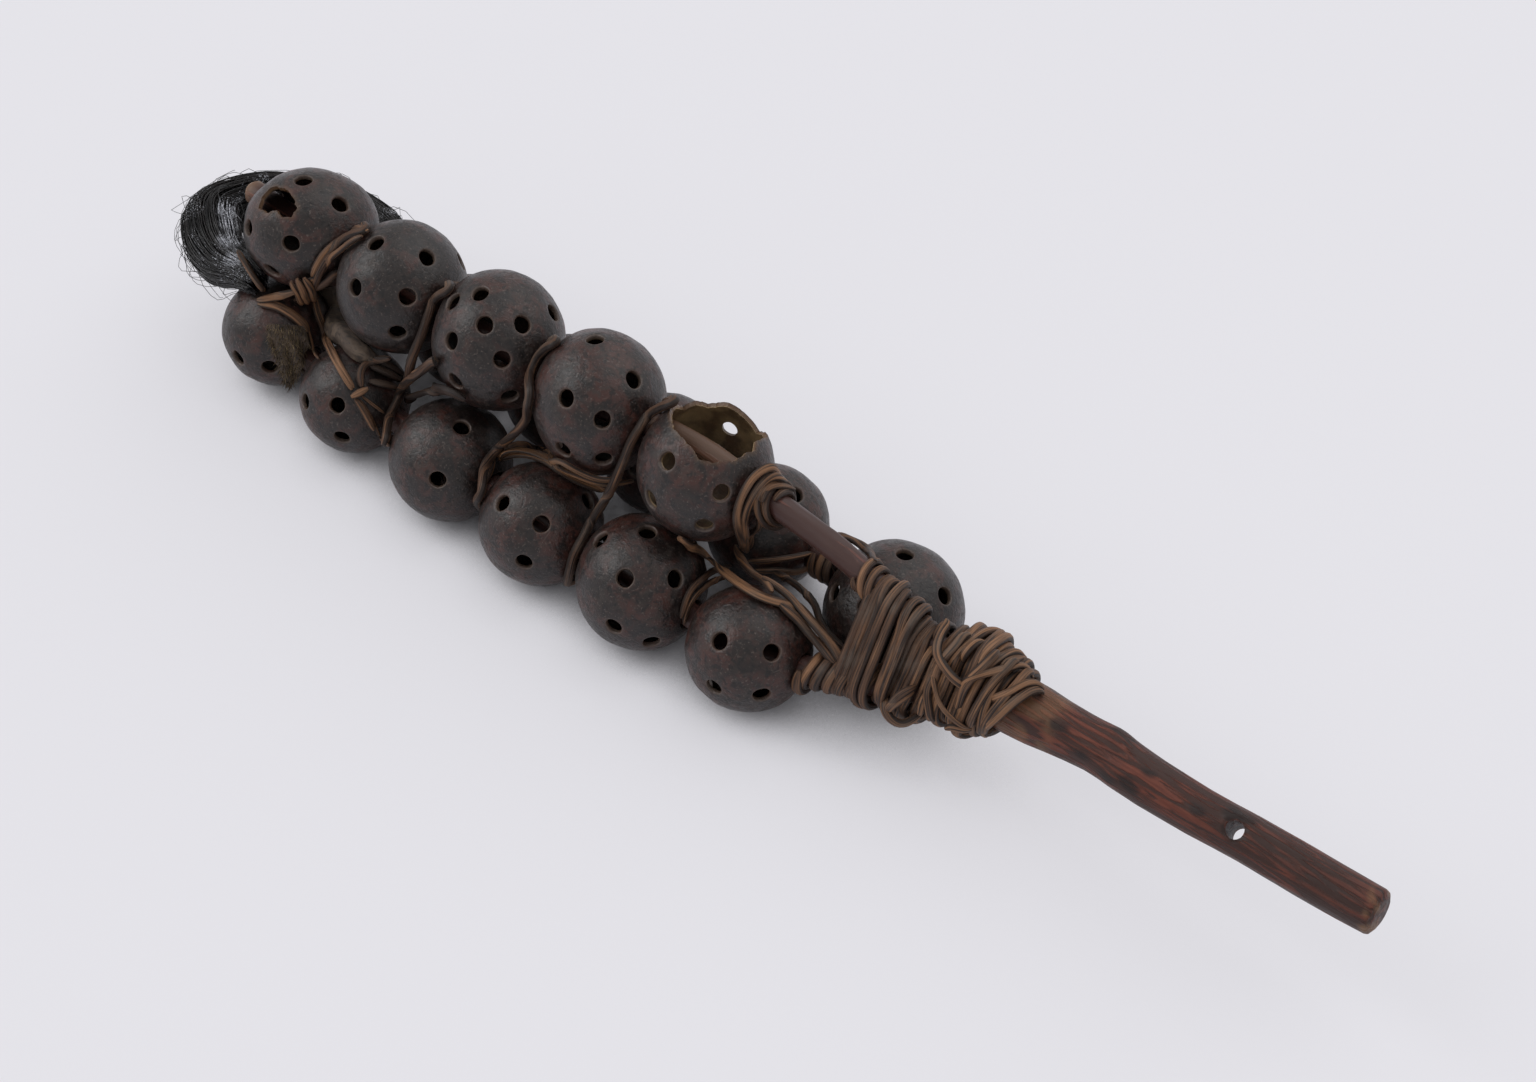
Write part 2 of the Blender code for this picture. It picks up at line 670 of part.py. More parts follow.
def build_lashings(shells, sticks, handle, start, parent):
    """Make the two lashings of the sticks and the handle."""
    rear_end = shells["rear_6"].centre.x + shells["rear_6"].radius + FIBRE_DIAMETER
    chord = 1 / math.cos(math.pi / LOOP_POINTS)

    def circles_at(x, layer=0):
        lift = FIBRE_DIAMETER / 2 * SLANT_ALLOWANCE + FIT + (FIBRE_DIAMETER + LAYER_CLEARANCE) * layer
        found = []
        for row, stick in sticks.items():
            past = (x - stick.end - FIBRE_DIAMETER) / (FIBRE_PITCH * END_SLOPE_TURNS)
            joined = row != "rear" or x > rear_end
            if joined and past < 1:
                sink = max(past, 0.0)
                middle = stick.at(x).lerp(handle.axis(x), sink)
                found.append((middle, (stick.radius(x) * SLANT_ALLOWANCE + lift) * chord))
        if x > handle.inner.x - FIBRE_DIAMETER:
            found.append((handle.axis(x), (handle.radius(x) * SLANT_ALLOWANCE + lift) * chord))
        return found

    first = wound_path(circles_at, start, FIBRE_PITCH, LASHING_TURNS, LOOP_POINTS)
    add_fibre("stick_lashing", first, parent)
    second_start = start + FIBRE_PITCH * (LASHING_TURNS + 1)
    second = wound_path(circles_at, second_start, FIBRE_PITCH, LASHING_TURNS, LOOP_POINTS)
    add_fibre("handle_lashing", second, parent)
    cross_start = second_start + FIBRE_PITCH * (LASHING_TURNS - 1)
    cross = wound_path(lambda x: circles_at(x, 1), cross_start, -CROSS_PITCH, CROSS_TURNS, LOOP_POINTS,
                       CROSS_FIRST_TURN)
    add_fibre("cross_lashing", cross, parent)


def build_ties(shells, sticks, parent):
    """Make the collar, the rear tie, the groove ties, the tip knot and the straps."""
    half = FIBRE_DIAMETER / 2
    round_stick = (STICK_DIAMETER / 2 + half + FIT) / math.cos(math.pi / SMALL_LOOP_POINTS)
    top = shells["top_5"]
    start = top.centre.x + top.radius + half + FIT
    collar = wound_path(lambda x: [(sticks["top"].at(x), round_stick)], start, FIBRE_PITCH, COLLAR_TURNS,
                        SMALL_LOOP_POINTS, COLLAR_FIRST_TURN)
    add_fibre("collar", collar, parent)
    gap_start = shells["rear_5"].centre.x + shells["rear_5"].radius
    start = gap_start + (LAST_REAR_GAP - FIBRE_PITCH * REAR_TIE_TURNS) / 2
    rear = wound_path(lambda x: [(sticks["rear"].at(x), round_stick)], start, FIBRE_PITCH, REAR_TIE_TURNS,
                      SMALL_LOOP_POINTS)
    add_fibre("rear_tie", rear, parent)
    for station in range(1, ROW_COUNTS["top"]):
        add_fibre(f"groove_tie_{station}", groove_tie(station, shells, sticks), parent)
    lift = half + FIT
    for name, route in (("cross_strap", CROSS_STRAP), ("front_strap", FRONT_STRAP), ("tip_strap", TIP_STRAP)):
        points = [shells[shell].over(along, turn, lift) for shell, along, turn in route]
        path = smooth_path(points, FIBRE_DIAMETER * 2)
        add_fibre(name, settle(path, [half] * len(path), shells), parent, wound=False)


def middle_of(shells, *names):
    """Mean of the centres of some shells."""
    return sum((shells[name].centre for name in names), Vector()) / len(names)


def build_tail(shells, sticks, parent):
    """Make the hair hank, the rolled hide dock, the tag of hide and the knot that ties them in."""
    ahead = Vector((0, -FRONT_OFFSET, 0))
    tip = middle_of(shells, "top_1", "front_1", "rear_1")
    reach = shells["top_1"].radius + HAIR_REACH
    points = []
    radii = []
    for k in range(HAIR_RINGS + 1):
        t = k / HAIR_RINGS
        angle = math.radians(HAIR_START + (HAIR_STOP - HAIR_START) * t)
        around = Vector((-reach * math.cos(angle), HAIR_HALF_WIDTH * math.sin(angle), HAIR_HEIGHT))
        points.append(tip + around)
        swell = math.sqrt(math.sin(math.pi * t))
        radii.append((HAIR_END_DIAMETER + (HAIR_DIAMETER - HAIR_END_DIAMETER) * swell) / 2)
    add_tube("hair_hank", settle(points, radii, shells), radii, HAIR_LOOK, parent, TUBE_SIDES)

    knot_radius = (FIBRE_DIAMETER + KNOT_HOLLOW) / 2
    knot_start = middle_of(shells, "top_1", "front_1") + ahead
    knot_offsets = [FIBRE_PITCH * (k - KNOT_TURNS / 2) for k in range(KNOT_TURNS + 1)]
    knot_axis = [knot_start + Vector((offset, 0, 0)) for offset in knot_offsets]
    knot_axis = settle(knot_axis, [knot_radius + FIBRE_DIAMETER / 2] * len(knot_axis), shells)
    last = knot_axis[-1]
    pitch = (last.x - knot_axis[0].x) / KNOT_TURNS
    knot = wound_path(lambda x: [(point_at(knot_axis, x), knot_radius)], knot_axis[0].x, pitch, KNOT_TURNS,
                      SMALL_LOOP_POINTS)
    add_fibre("tip_knot", knot, parent)

    thick = DOCK_DIAMETER / 2
    thin = DOCK_SQUEEZED / 2
    route = [
        Vector((last.x + DOCK_DIAMETER, last.y, last.z)),
        middle_of(shells, "top_1", "top_2", "front_1", "front_2"),
        middle_of(shells, "top_2", "front_2") + ahead,
        middle_of(shells, "top_2", "top_3", "front_2", "front_3"),
        middle_of(shells, "top_2", "top_3", "front_2", "front_3", "rear_2", "rear_3"),
    ]
    path = smooth_path(route, DOCK_DIAMETER)
    radii = [thick + (thin - thick) * min(k / (len(path) / 2), 1) for k in range(len(path))]
    add_tube("tail_dock", settle(path, radii, shells), radii, HIDE_LOOK, parent, TUBE_SIDES)

    middle, tie_reach = groove(shells["front_1"], shells["front_2"], sticks["front"], FIBRE_DIAMETER)
    _, own_reach = groove(shells["front_1"], shells["front_2"], sticks["front"], TAG_DIAMETER)
    outside = tie_reach + (FIBRE_DIAMETER + TAG_DIAMETER) / 2 + FIT
    points = [middle + direction(90, turn) * max(own_reach, outside) for turn in TAG_TURNS]
    path = smooth_path(points, TAG_DIAMETER / 2)
    taper = (TAG_END_DIAMETER - TAG_DIAMETER) / (len(path) - 1)
    radii = [(TAG_DIAMETER + taper * k) / 2 for k in range(len(path))]
    add_tube("hide_tag", path, radii, HIDE_LOOK, parent, TUBE_SIDES)


def stand_on_origin(root):
    """Move everything so that the origin is under the middle of the object's box."""
    bpy.context.view_layer.update()
    graph = bpy.context.evaluated_depsgraph_get()
    corners = []
    for piece in bpy.data.objects:
        if piece.type in {"MESH", "CURVE"} and not piece.hide_render:
            solid = piece.evaluated_get(graph)
            mesh = solid.to_mesh()
            corners.extend(piece.matrix_world @ vertex.co for vertex in mesh.vertices)
            solid.to_mesh_clear()
    low = Vector(min(corner[i] for corner in corners) for i in range(3))
    high = Vector(max(corner[i] for corner in corners) for i in range(3))
    root.location = (-(low.x + high.x) / 2, -(low.y + high.y) / 2, -low.z)


def main():
    """Build the rattle."""
    clear_scene()
    root = add_empty("rattle")
    shells = lay_out_shells()
    handle = Handle(shells)
    last = shells["front_6"]
    lashing_start = last.centre.x + last.radius + LASHING_SETBACK
    sticks = {row: Stick(row, shells, handle, lashing_start) for row in SEAT_TURNS}
    for row, stick in sticks.items():
        stick.build(f"stick_{row}", root)
    for shell in shells.values():
        drop = build_shell(shell, neighbours_of(shell, shells), root)
        if shell.name != "top_5":
            build_seed(shell, drop, root)
    build_handle(handle, root)
    build_lashings(shells, sticks, handle, lashing_start, root)
    build_ties(shells, sticks, root)
    build_tail(shells, sticks, root)
    stand_on_origin(root)


main()
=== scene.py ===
"""Dressed model of a seed shell rattle.

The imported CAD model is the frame: places and sizes are read from its nodes, or written as named values in
metres. +X runs from the hair to the handle, +Z is up, and the front row of shells lies towards -Y. Directions
on a shell are two angles in degrees: along, from +X, and turn, about X from straight up towards the front.
"""

import logging
import math
from dataclasses import dataclass, field
from enum import Enum
from functools import partial, reduce
from typing import Callable, NamedTuple

import bmesh
import bpy
import numpy as np
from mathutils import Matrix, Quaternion, Vector, noise
from mathutils.geometry import delaunay_2d_cdt


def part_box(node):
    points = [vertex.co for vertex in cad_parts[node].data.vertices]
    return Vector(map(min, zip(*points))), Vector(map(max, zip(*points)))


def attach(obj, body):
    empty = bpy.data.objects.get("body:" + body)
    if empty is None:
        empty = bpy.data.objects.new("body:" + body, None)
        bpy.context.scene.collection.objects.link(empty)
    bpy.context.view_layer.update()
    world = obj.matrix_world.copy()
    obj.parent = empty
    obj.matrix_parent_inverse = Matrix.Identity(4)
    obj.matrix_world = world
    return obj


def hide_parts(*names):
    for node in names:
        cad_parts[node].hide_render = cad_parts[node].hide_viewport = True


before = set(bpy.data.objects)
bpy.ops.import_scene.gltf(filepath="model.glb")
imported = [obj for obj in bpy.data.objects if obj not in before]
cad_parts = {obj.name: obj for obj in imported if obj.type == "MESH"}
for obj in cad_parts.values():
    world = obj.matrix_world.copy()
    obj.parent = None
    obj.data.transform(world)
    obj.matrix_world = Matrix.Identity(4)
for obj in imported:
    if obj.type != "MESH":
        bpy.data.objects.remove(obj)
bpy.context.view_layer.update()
ROOT = "rattle"
LOG = logging.getLogger(ROOT)

Colour = tuple[float, float, float, float]
Socket = bpy.types.NodeSocket
Material = bpy.types.Material
Piece = bpy.types.Object
Array = np.ndarray


def srgb(red: int, green: int, blue: int) -> Colour:
    """Linear colour of a screen colour in 8-bit steps.

    Args:
        red: red step.
        green: green step.
        blue: blue step.

    Returns:
        Its red, green and blue shares of light, and an alpha of one.
    """
    linear = []
    for step in (red, green, blue):
        share = step / 255
        linear.append(share / 12.92 if share <= 0.04045 else ((share + 0.055) / 1.055) ** 2.4)
    return (*linear, 1.0)


def direction(along: float, turn: float) -> Vector:
    """Unit vector of the two angles, in degrees."""
    a, t = (math.radians(angle) for angle in (along, turn))
    return Vector((math.cos(a), -math.sin(a) * math.sin(t), math.sin(a) * math.cos(t)))


def unit(rows: Array) -> Array:
    """Each vector at a length of one."""
    return rows / np.linalg.norm(rows, axis=-1, keepdims=True)


def side_and_up(way: Array, pole: tuple) -> tuple[Array, Array]:
    """Two unit vectors across a direction and across each other, the first of them across a pole too."""
    side = unit(np.cross(way, pole))
    return side, np.cross(way, side)


def from_ends(count: int, step: float) -> Array:
    """Distance of each point of a path with even steps from the path's nearer end."""
    numbers = np.arange(count)
    return np.minimum(numbers, numbers[::-1]) * step


def open_edges(faces: list) -> list[tuple[int, int]]:
    """Directed edges that only one face has, in order."""
    edges = {(a, b) for face in faces for a, b in zip(face, (*face[1:], face[0]))}
    return sorted((a, b) for a, b in edges if (b, a) not in edges)


def names_of(kind: str) -> list[str]:
    """Names of the CAD nodes of a kind, without the kind."""
    return [node.removeprefix(kind) for node in sorted(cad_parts) if node.startswith(kind)]


class NodeKit:
    """Adds linked nodes to a node tree."""

    def __init__(self, tree: bpy.types.NodeTree) -> None:
        """Keep the tree that the nodes go into."""
        self.tree = tree

    def feed(self, socket: Socket, value: object) -> None:
        """Link a socket to another one, or set its value.

        Args:
            socket: the input.
            value: another socket, or a plain value.
        """
        if isinstance(value, Socket):
            self.tree.links.new(value, socket)
        else:
            socket.default_value = value

    def add(self, kind: str, inputs: dict | None = None, **settings: object) -> bpy.types.Node:
        """Add one node.

        Args:
            kind: Blender's name for the type of node.
            inputs: values or sockets for the inputs, by name or by number.
            settings: values for the node's own properties.

        Returns:
            The new node.
        """
        node = self.tree.nodes.new(kind)
        for name, value in settings.items():
            setattr(node, name, value)
        for key, value in (inputs or {}).items():
            self.feed(node.inputs[key], value)
        return node

    def math(self, operation: str, first: object, second: object = 0.0) -> Socket:
        """Result of a Math node."""
        return self.add("ShaderNodeMath", {0: first, 1: second}, operation=operation).outputs[0]

    def total(self, *values: object) -> Socket:
        """Sum of some numbers."""
        return reduce(partial(self.math, "ADD"), values)

    def times(self, *values: object) -> Socket:
        """Product of some numbers."""
        return reduce(partial(self.math, "MULTIPLY"), values)

    def vector(self, operation: str, first: object, second: object = (0.0, 0.0, 0.0)) -> Socket:
        """Vector result of a Vector Math node."""
        node = self.add("ShaderNodeVectorMath", {0: first, 1: second}, operation=operation)
        return node.outputs["Value" if operation == "DOT_PRODUCT" else "Vector"]

    def scaled(self, vector: object, scale: object) -> Socket:
        """Vector times a number."""
        node = self.add("ShaderNodeVectorMath", {0: vector, "Scale": scale}, operation="SCALE")
        return node.outputs["Vector"]

    def combined(self, x: object, y: object, z: object) -> Socket:
        """Vector of three numbers."""
        return self.add("ShaderNodeCombineXYZ", {"X": x, "Y": y, "Z": z}).outputs["Vector"]


class MaterialKit(NodeKit):
    """Nodes of one material round its Principled shader."""

    def __init__(self, name: str) -> None:
        """Start a material whose patterns lie on Object coordinates.

        Args:
            name: name of the material.
        """
        self.material = bpy.data.materials.new(name)
        self.material.use_nodes = True
        super().__init__(self.material.node_tree)
        self.shader = self.tree.nodes["Principled BSDF"]
        self.where = self.add("ShaderNodeTexCoord").outputs["Object"]

    def stretched(self, scale: tuple[float, float, float], where: Socket | None = None) -> Socket:
        """Coordinates drawn out along an axis."""
        place = self.where if where is None else where
        return self.add("ShaderNodeMapping", {"Vector": place, "Scale": scale}).outputs["Vector"]

    def noise(self, size: float, detail: float = 4.0, where: Socket | None = None,
              distortion: float = 0.0) -> Socket:
        """Noise from 0 to 1.

        Args:
            size: size of its spots in the units of the coordinates.
            detail: octaves of finer noise.
            where: coordinates, or None for Object coordinates.
            distortion: how far the noise is drawn out of shape.

        Returns:
            The number socket of the noise.
        """
        place = self.where if where is None else where
        inputs = {"Vector": place, "Scale": 1 / size, "Detail": detail, "Distortion": distortion}
        return self.add("ShaderNodeTexNoise", inputs).outputs["Fac"]

    def smooth(self, value: Socket, low: float, high: float, most: float = 1.0) -> Socket:
        """Number that eases from 0 at low to most at high."""
        inputs = {"Value": value, "From Min": low, "From Max": high, "To Max": most}
        return self.add("ShaderNodeMapRange", inputs, interpolation_type="SMOOTHSTEP").outputs["Result"]

    def mix(self, share: object, first: object, second: object) -> Socket:
        """Colour between two colours."""
        node = self.add("ShaderNodeMix", {0: share, 6: first, 7: second}, data_type="RGBA")
        return node.outputs[2]

    def attribute(self, name: str, output: str = "Fac") -> Socket:
        """Value that the mesh carries under a name."""
        return self.add("ShaderNodeAttribute", attribute_name=name).outputs[output]

    def finish(self, colour: object, roughness: object, height: Socket, depth: float,
               **steady: object) -> Material:
        """Feed the shader.

        Args:
            colour: base colour.
            roughness: roughness.
            height: relief of the surface, 0 to about 1.
            depth: size of that relief in metres.
            steady: values that are the same all over, by the shader's input names with _ for spaces.

        Returns:
            The finished material.
        """
        bump = self.add("ShaderNodeBump", {"Height": height, "Distance": depth, "Strength": 1.0})
        self.feed(self.shader.inputs["Base Color"], colour)
        self.feed(self.shader.inputs["Roughness"], roughness)
        self.feed(self.shader.inputs["Normal"], bump.outputs["Normal"])
        for name, value in steady.items():
            self.shader.inputs[name.replace("_", " ")].default_value = value
        return self.material


class GeometryKit(NodeKit):
    """Geometry Nodes tree with named inputs, which ends in Realize Instances and Set Material."""

    def __init__(self, name: str, inputs: dict[str, str]) -> None:
        """Start the tree.

        Args:
            name: name of the tree.
            inputs: socket type of each input besides the geometry and the material.
        """
        tree = bpy.data.node_groups.new(name, "GeometryNodeTree")
        sockets = {"Geometry": "Geometry", **inputs, "Material": "Material"}
        for label, kind in sockets.items():
            tree.interface.new_socket(label, in_out="INPUT", socket_type=f"NodeSocket{kind}")
        tree.interface.new_socket("Geometry", in_out="OUTPUT", socket_type="NodeSocketGeometry")
        super().__init__(tree)
        self.given = self.add("NodeGroupInput").outputs

    def named(self, name: str, kind: str = "FLOAT") -> Socket:
        """Attribute that the geometry carries."""
        node = self.add("GeometryNodeInputNamedAttribute", {"Name": name}, data_type=kind)
        return node.outputs["Attribute"]

    def way(self, name: str) -> Socket:
        """Vector that the geometry carries."""
        return self.named(name, "FLOAT_VECTOR")

    def store(self, geometry: Socket, name: str, value: Socket, kind: str = "FLOAT",
              domain: str = "POINT") -> Socket:
        """Geometry with a value kept under a name."""
        inputs = {"Geometry": geometry, "Name": name, "Value": value}
        return self.add("GeometryNodeStoreNamedAttribute", inputs, data_type=kind, domain=domain).outputs[0]

    def moved(self, geometry: Socket, **inputs: object) -> Socket:
        """Geometry with its points set to a Position, or moved by an Offset."""
        return self.add("GeometryNodeSetPosition", {"Geometry": geometry, **inputs}).outputs["Geometry"]

    def feed_shown(self, node: bpy.types.Node, inputs: dict[str, object]) -> None:
        """Feed those inputs of a node that its settings show.

        Args:
            node: the node.
            inputs: values or sockets, by the inputs' names.
        """
        for socket in node.inputs:
            if socket.enabled and socket.name in inputs:
                self.feed(socket, inputs[socket.name])

    def random(self, low: float, high: float, seed: int, item: Socket) -> Socket:
        """Random number for each item.

        Args:
            low: least number.
            high: greatest number.
            seed: seed of the draws.
            item: what tells the items apart.

        Returns:
            The number.
        """
        node = self.add("FunctionNodeRandomValue")
        self.feed_shown(node, {"Min": low, "Max": high, "ID": item, "Seed": seed})
        return next(socket for socket in node.outputs if socket.enabled)

    def close(self, geometry: Socket) -> None:
        """End the tree in smooth, real faces with the material.

        Args:
            geometry: what the tree made.
        """
        smooth = self.add("GeometryNodeSetShadeSmooth", {"Geometry": geometry})
        real = self.add("GeometryNodeRealizeInstances", {"Geometry": smooth.outputs["Geometry"]})
        inputs = {"Geometry": real.outputs["Geometry"], "Material": self.given["Material"]}
        dressed = self.add("GeometryNodeSetMaterial", inputs)
        self.add("NodeGroupOutput", {"Geometry": dressed.outputs["Geometry"]})

    def grow(self, name: str, seedling: bpy.types.Mesh, **values: object) -> Piece:
        """Run the tree on a mesh.

        Args:
            name: name of the new piece.
            seedling: mesh that the tree starts from, which is used up.
            values: values of the tree's inputs, by name with _ for spaces.

        Returns:
            A piece with the result as its plain mesh.
        """
        piece = bpy.data.objects.new(name, seedling)
        bpy.context.scene.collection.objects.link(piece)
        modifier = piece.modifiers.new(self.tree.name, "NODES")
        modifier.node_group = self.tree
        for item in self.tree.interface.items_tree:
            label = item.name.replace(" ", "_")
            if item.in_out == "INPUT" and label in values:
                modifier[item.identifier] = values[label]
        bake(piece, modifier)
        return piece


def bake(piece: Piece, modifier: bpy.types.Modifier) -> None:
    """Keep the result of a modifier as the piece's own mesh, without the modifier and the mesh before it.

    Args:
        piece: the piece.
        modifier: its only modifier.
    """
    graph = bpy.context.evaluated_depsgraph_get()
    mesh = bpy.data.meshes.new_from_object(piece.evaluated_get(graph))
    piece.modifiers.remove(modifier)
    plain = piece.data
    piece.data = mesh
    bpy.data.meshes.remove(plain)
    mesh.name = piece.name


def carry(mesh: bpy.types.Mesh, rows: dict[str, object]) -> None:
    """Let each vertex of a mesh carry a number or a vector under each name.

    Args:
        mesh: the mesh.
        rows: numbers or vectors of all the vertices, by name.
    """
    for label, values in rows.items():
        values = np.asarray(values, dtype=np.float32)
        kind, key = ("FLOAT_VECTOR", "vector") if values.ndim > 1 else ("FLOAT", "value")
        mesh.attributes.new(label, kind, "POINT").data.foreach_set(key, values.reshape(-1))


def add_piece(name: str, vertices: Array, faces: list, material: Material,
              attributes: dict[str, Array] | None = None, sharp: float = 50.0) -> Piece:
    """Make a smooth-shaded piece of its vertices and faces.

    Args:
        name: name of the piece.
        vertices: places of the vertices, in metres.
        faces: vertex numbers of each face.
        material: finish of the piece.
        attributes: numbers that each vertex carries, by name.
        sharp: angle in degrees over which an edge stays sharp.

    Returns:
        The new piece.
    """
    mesh = bpy.data.meshes.new(name)
    mesh.from_pydata(vertices.tolist(), [], faces)
    carry(mesh, attributes or {})
    mesh.shade_smooth()
    mesh.set_sharp_from_angle(angle=math.radians(sharp))
    mesh.materials.append(material)
    piece = bpy.data.objects.new(name, mesh)
    bpy.context.scene.collection.objects.link(piece)
    return piece


def settle_in(piece: Piece, slot: str, *nodes: str, body: str = ROOT) -> None:
    """Let a piece ride on its body and stand for its CAD nodes, where it has some.

    Args:
        piece: the finished piece.
        slot: not used.
        nodes: CAD nodes that it stands for.
        body: body that it rides on.
    """
    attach(piece, body)
    if nodes:
        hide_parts(*nodes)
    LOG.info("%s: %d faces", piece.name, len(piece.data.polygons))


def welded(node: str) -> tuple[Array, Array]:
    """Corners and triangles of a CAD node, with equal corners merged.

    Args:
        node: name of the node.

    Returns:
        Places of the corners, and the corner numbers of each triangle.
    """
    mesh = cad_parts[node].data
    corners = np.empty(len(mesh.vertices) * 3)
    mesh.vertices.foreach_get("co", corners)
    mesh.calc_loop_triangles()
    triangles = np.empty(len(mesh.loop_triangles) * 3, dtype=np.int64)
    mesh.loop_triangles.foreach_get("vertices", triangles)
    micrometres = np.round(corners.reshape(-1, 3) * 1e6).astype(np.int64)
    merged, places = np.unique(micrometres, axis=0, return_inverse=True)
    return merged / 1e6, places.reshape(-1)[triangles].reshape(-1, 3)


def sections(node: str, count: int) -> tuple[Array, Array]:
    """Middles of even sections of a CAD node across X.

    Args:
        node: name of a node that runs along X.
        count: number of sections.

    Returns:
        The middle of each section, and the middle's distance from the skin on average.
    """
    corners, triangles = welded(node)
    low = corners[:, 0].min()
    high = corners[:, 0].max()
    margin = (high - low) * 1e-3
    middles = []
    reaches = []
    for x in np.linspace(low + margin, high - margin, count):
        ends = []
        for first, second in ((0, 1), (1, 2), (2, 0)):
            start = corners[triangles[:, first]]
            stop = corners[triangles[:, second]]
            crossing = (start[:, 0] - x) * (stop[:, 0] - x) < 0
            share = (x - start[crossing, 0]) / (stop[crossing, 0] - start[crossing, 0])
            ends.append(start[crossing] + (stop[crossing] - start[crossing]) * share[:, None])
        points = np.unique(np.round(np.concatenate(ends), 7), axis=0)
        middle = points.mean(axis=0)
        middles.append(middle)
        reaches.append(np.linalg.norm(points - middle, axis=1).mean())
    return np.array(middles), np.array(reaches)


@dataclass(frozen=True)
class View:
    """Camera at the photograph's angle."""

    azimuth: float = 40.606
    elevation: float = 48.72
    distance: float = 1.0371
    aim: tuple = (0.01627, 0.01678, 0.0300)
    lens: float = 64.25
    sensor: float = 36.0
    width: int = 1536
    height: int = 1082

    def towards(self) -> Vector:
        """Direction from the aim to the camera."""
        a, e = (math.radians(angle) for angle in (self.azimuth, self.elevation))
        return Vector((math.cos(e) * math.sin(a), -math.cos(e) * math.cos(a), math.sin(e)))

    def place(self) -> Array:
        """Where the camera stands."""
        return np.array(Vector(self.aim) + self.towards() * self.distance)

    def turn(self) -> Quaternion:
        """How the camera is turned."""
        return (-self.towards()).to_track_quat("-Z", "Y")

    def pixel(self) -> float:
        """Width of a pixel of the photograph at a depth of one."""
        return self.sensor / self.lens / self.width

    def ray(self, x: float, y: float) -> Array:
        """Unit direction of the sight line through a pixel of the photograph.

        Args:
            x: pixels from the left.
            y: pixels from the top.

        Returns:
            The direction.
        """
        pixel = self.pixel()
        way = Vector(((x - self.width / 2) * pixel, (self.height / 2 - y) * pixel, -1.0))
        return np.array((self.turn() @ way).normalized())

    def build(self) -> None:
        """Make the camera."""
        data = bpy.data.cameras.new("camera")
        data.lens = self.lens
        data.sensor_width = self.sensor
        camera = bpy.data.objects.new("camera", data)
        camera.location = self.place()
        camera.rotation_mode = "QUATERNION"
        camera.rotation_quaternion = self.turn()
        bpy.context.scene.collection.objects.link(camera)
        bpy.context.scene.camera = camera


class OpeningKind(Enum):
    """What made an opening of a shell."""

    HOLE = "drilled"
    BORE = "bored for the stick"
    BREAK = "broken"


@dataclass
class Opening:
    """Opening of a shell: its kind and its rim, as directions from the shell's centre."""

    kind: OpeningKind
    rim: Array

    def middle(self) -> Array:
        """Direction of the opening's middle."""
        return unit(self.rim.mean(axis=0))

    def angle(self) -> float:
        """Mean angle from the middle to the rim, in radians."""
        return float(np.arccos(np.clip(self.rim @ self.middle(), -1, 1)).mean())


@dataclass
class ShellPlace:
    """Place of a shell: its centre, radius and openings, and its stretch to the outline seen."""

    name: str
    centre: Array
    radius: float
    openings: list[Opening]
    stretch: Array = field(default_factory=lambda: np.eye(3))

    HOLE_SIDES = 6
    BORE_SIDES = 8
    EVEN = 1e-3
    FITS = 3

    @classmethod
    def measured(cls, name: str) -> "ShellPlace":
        """Measure a CAD shell: fit a sphere to its outer corners and follow the rims of its openings.

        Args:
            name: row and number of the shell.

        Returns:
            What was measured.
        """
        corners, triangles = welded(f"shell_{name}")
        outer = np.ones(len(corners), dtype=bool)
        for _ in range(cls.FITS):
            system = np.column_stack((corners[outer] * 2, np.ones(outer.sum())))
            answer = np.linalg.lstsq(system, (corners[outer] ** 2).sum(axis=1), rcond=None)[0]
            centre = answer[:3]
            reach = np.linalg.norm(corners - centre, axis=1)
            outer = reach > (reach.min() + reach.max()) / 2
        after = dict(open_edges(triangles[outer[triangles].all(axis=1)].tolist()))
        openings = []
        while after:
            start = min(after)
            loop = [start]
            step = after.pop(start)
            while step != start:
                loop.append(step)
                step = after.pop(step)
            rim = unit(corners[loop] - centre)
            openings.append(Opening(cls.kind_of(rim), rim))
        return cls(name, centre, float(reach[outer].mean()), openings)

    @classmethod
    def kind_of(cls, rim: Array) -> OpeningKind:
        """Kind of an opening, by the sides of its rim and how evenly they lie round the middle.

        Args:
            rim: directions along the rim.

        Returns:
            The kind.
        """
        spread = np.ptp(rim @ unit(rim.mean(axis=0)))
        if spread > cls.EVEN or len(rim) not in (cls.HOLE_SIDES, cls.BORE_SIDES):
            return OpeningKind.BREAK
        return OpeningKind.HOLE if len(rim) == cls.HOLE_SIDES else OpeningKind.BORE

    def bores(self) -> list[Opening]:
        """The two openings that the stick goes through."""
        return [opening for opening in self.openings if opening.kind is OpeningKind.BORE]

    def seen_way(self, view: View, x: float, y: float, far: bool) -> Array:
        """Direction from the centre to where the shell lies behind a pixel.

        Args:
            view: camera of the photograph.
            x: pixel's place from the left.
            y: pixel's place from the top.
            far: whether the shell's far side is meant.

        Returns:
            The direction.
        """
        inverse = np.linalg.inv(self.stretch)
        start = inverse @ (view.place() - self.centre)
        way = unit(inverse @ view.ray(x, y))
        middle = float(start @ way)
        root = middle ** 2 - float(start @ start) + self.radius ** 2
        half = math.sqrt(max(root, 0.0))
        return unit(start + way * (half - middle if far else -half - middle))


class Disc(NamedTuple):
    """Outline of a shell in the photograph, in pixels."""

    x: float
    y: float
    half_width: float
    half_height: float


